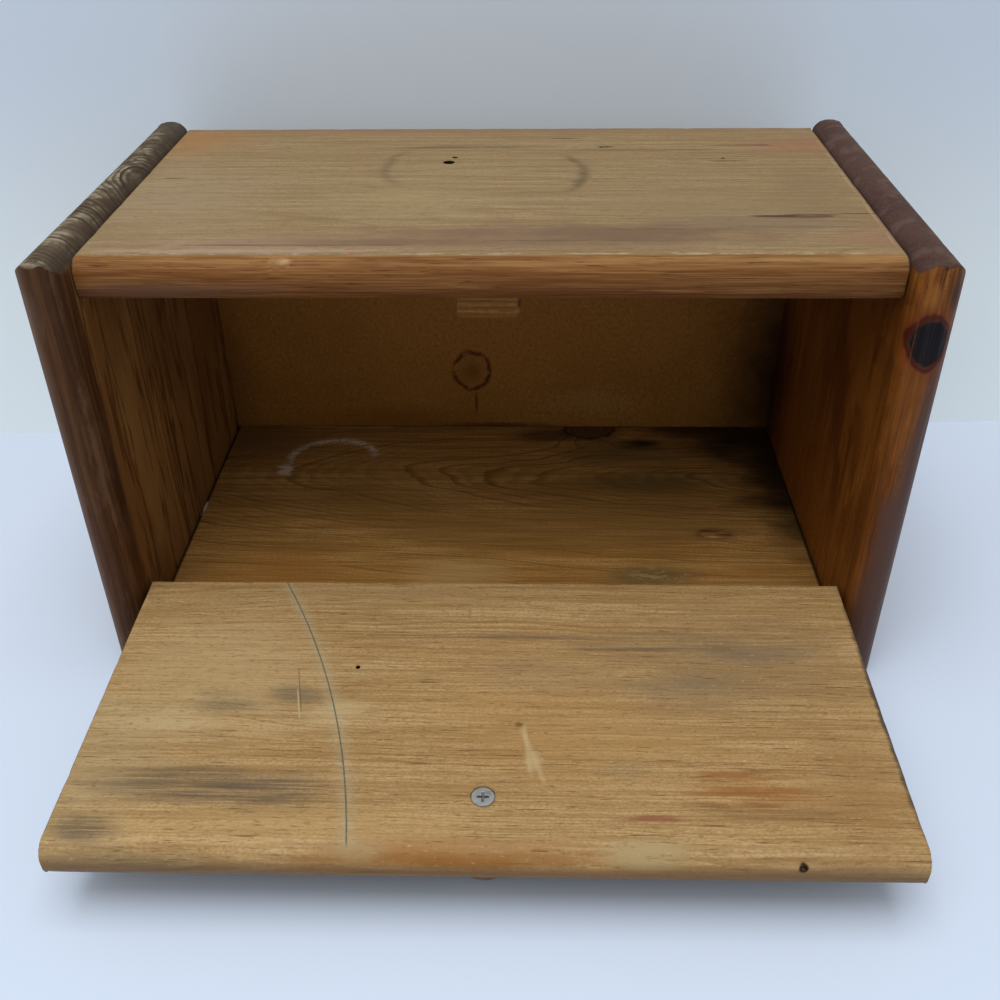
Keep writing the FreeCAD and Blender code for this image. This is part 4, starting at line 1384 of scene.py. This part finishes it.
DIRT_FROM = 0.15 * MM       # below the flap's face
DIRT_FULL = 0.5 * MM
out_of_face = FLAP_FRAME.to_3x3() @ Vector((0, 0, 1))
zinc_fine = metal("zinc_screw", (0.86, 0.92, 0.92), 0.32, (0.30, 0.31, 0.30), 0.5)
level = add(zinc_fine.tree, "VectorMath", {0: zinc_fine.place, 1: out_of_face},
            operation="DOT_PRODUCT").outputs["Value"]
face_level = FLAP_FRAME.translation.dot(out_of_face)
sunk = fade(zinc_fine.tree, level, face_level - DIRT_FROM, face_level - DIRT_FULL)
zinc_fine.lay(sunk, (0.22, 0.22, 0.21), 0.9)
zinc_fine.dull(sunk, 0.4)
zinc = zinc_fine.done()
steel = metal("bright_steel", (0.30, 0.27, 0.24), 0.42, (0.09, 0.05, 0.03), 0.6).done()
for node in ("left_pivot_pin", "right_pivot_pin", "top_board_nails", "floor_board_nails",
             "back_panel_tacks", "door_stop_brads"):
    give_finish(node, steel)
give_finish("knob_screw", zinc)
print("steel and zinc given to the fasteners")

# %% [markdown]
# ## Table and wall
# The box stands on a pale, cool table close to a pale wall. One curved backdrop would be
# simpler, but a kitchen has a corner there. The wall is seen from its front only and
# takes no part in the lighting, so the box can also be looked at from behind it. Its
# foot is painted lighter, as painted light from the table.

# %% The table and the wall
TABLE_TONE = (0.70, 0.81, 0.98)
WALL_TONE = (0.69, 0.775, 0.885)
WALL_FOOT_PAINTED_LIGHT = (0.90, 0.985, 1.0)
WALL_AWAY = 0.2116          # behind the middle of the box
WALL_TURN = radians(1.73)
WALL_FOOT = 80              # up to here, in mm, the wall has its foot's painted light
WALL_FOOT_FADE = 280        # and from here on it has its own tone
BELOW_FEET = -0.2 * MM      # the feet must not share a plane with the table


def sheet(name, width, height):
    """A flat sheet that reaches from its own X axis towards Y, and is only scenery."""
    mesh = bpy.data.meshes.new(name)
    w = width / 2
    corners = [(-w, 0, 0), (w, 0, 0), (w, height, 0), (-w, height, 0)]
    mesh.from_pydata(corners, [], [[0, 1, 2, 3]])
    piece = bpy.data.objects.new(name, mesh)
    bpy.context.scene.collection.objects.link(piece)
    return piece


def stage_finish(name, colour, one_sided):
    """A plain finish for scenery. A one-sided sheet is the wall: clear from behind."""
    finish = Finish(name, colour, 0.7, sheen=0.2)
    finish.mottle(3, 0.35, 0.7, tone(colour, 0.96), 0.5)
    if one_sided:
        # the wall's foot is laid lighter, fading upwards: painted light, as thrown up from the
        # table
        finish.lay(finish.beyond("Y", WALL_FOOT_FADE, WALL_FOOT), WALL_FOOT_PAINTED_LIGHT)
        behind = add(finish.tree, "NewGeometry").outputs["Backfacing"]
        clear = add(finish.tree, "BsdfTransparent").outputs[0]
        both = add(finish.tree, "MixShader", {0: behind, 1: finish.shader.outputs[0], 2: clear})
        finish.tree.links.new(both.outputs[0], finish.out.inputs[0])
    return finish.done()


table = sheet("table_top", 4, 4)
table.location = (0, -2, BELOW_FEET)
table.data.materials.append(stage_finish("table", TABLE_TONE, False))
wall = sheet("wall", 4, 2)
wall.rotation_euler = (pi / 2, 0, WALL_TURN)
wall.location = (0, WALL_AWAY, BELOW_FEET)
wall.data.materials.append(stage_finish("wall", WALL_TONE, True))
wall.visible_shadow = False
wall.visible_diffuse = False
wall.visible_glossy = False
print("wall", round(WALL_AWAY * 100, 1), "cm behind the middle of the case")

# %% [markdown]
# ## Light
# Two broad, soft lamps light the case: one overhead and one from the upper left front,
# where a kitchen window might be. The room itself gives a low, even light. One strong
# lamp would do for a sharper picture, but the inside would go black. The strengths are
# set so that a level board comes out about as light as its own colour.

# %% The lights
ROOM_LIGHT = 0.39
ROOM_TONE = (0.62, 0.72, 0.88, 1)       # what shows where there is neither table nor wall
LAMP_SIZE = 1.6
LAMP_AIM = Vector((0, 0, 0.1))


def softbox(name, place, watts):
    """A square lamp that looks at the middle of the case."""
    data = bpy.data.lights.new(name, "AREA")
    data.shape = "SQUARE"
    data.size = LAMP_SIZE
    data.energy = watts
    lamp = bpy.data.objects.new(name, data)
    lamp.location = place
    lamp.rotation_euler = (LAMP_AIM - lamp.location).to_track_quat("-Z", "Y").to_euler()
    bpy.context.scene.collection.objects.link(lamp)
    print(name, "lamp,", watts, "watts")


softbox("overhead", (0, -0.42, 2.36), 25)
softbox("window", (-0.60, -1.04, 2.08), 14)

world = bpy.data.worlds.new("room")
bpy.context.scene.world = world
world.use_nodes = True
tree = world.node_tree
tree.nodes.clear()
seen = add(tree, "LightPath").outputs["Is Camera Ray"]
soft = add(tree, "Background", {"Color": (1, 1, 1, 1), "Strength": ROOM_LIGHT})
plain = add(tree, "Background", {"Color": ROOM_TONE, "Strength": 1.0})
choice = add(tree, "MixShader", {0: seen, 1: soft.outputs[0], 2: plain.outputs[0]})
out = add(tree, "OutputWorld")
tree.links.new(choice.outputs[0], out.inputs[0])

# %% [markdown]
# ## Camera
# It stands in front of the case, close and high, and looks down into it. A Track To
# constraint could aim it, but would not keep its slight roll, so the matrix is built
# from where it looks and what it takes for up.

# %% The camera
LENS = 38.725               # focal length in mm, on a 36 mm wide sensor
CAMERA_AT = Vector((0.01644, -0.43124, 0.3815))
CAMERA_AIM = Vector((-0.02396, 0.82317, -0.56729))
CAMERA_UP = Vector((-0.00486, 0.56735, 0.82346))
camera_data = bpy.data.cameras.new("camera")
camera_data.lens = LENS
camera_data.sensor_width = 36
camera_data.clip_start = 0.01
camera = bpy.data.objects.new("camera", camera_data)
back_way = -CAMERA_AIM.normalized()
side_way = CAMERA_UP.cross(back_way).normalized()
camera.matrix_world = Matrix.Translation(CAMERA_AT) @ Matrix(
    (side_way, back_way.cross(side_way), back_way)).transposed().to_4x4()
bpy.context.scene.collection.objects.link(camera)
bpy.context.scene.camera = camera
bpy.context.scene.view_settings.view_transform = "Standard"
print("camera", round(CAMERA_AT.length, 3), "m from the middle of the case's foot")

# %% [markdown]
# ## Size
# Wood is only lost here, so no board is larger than the packed model's box for it.
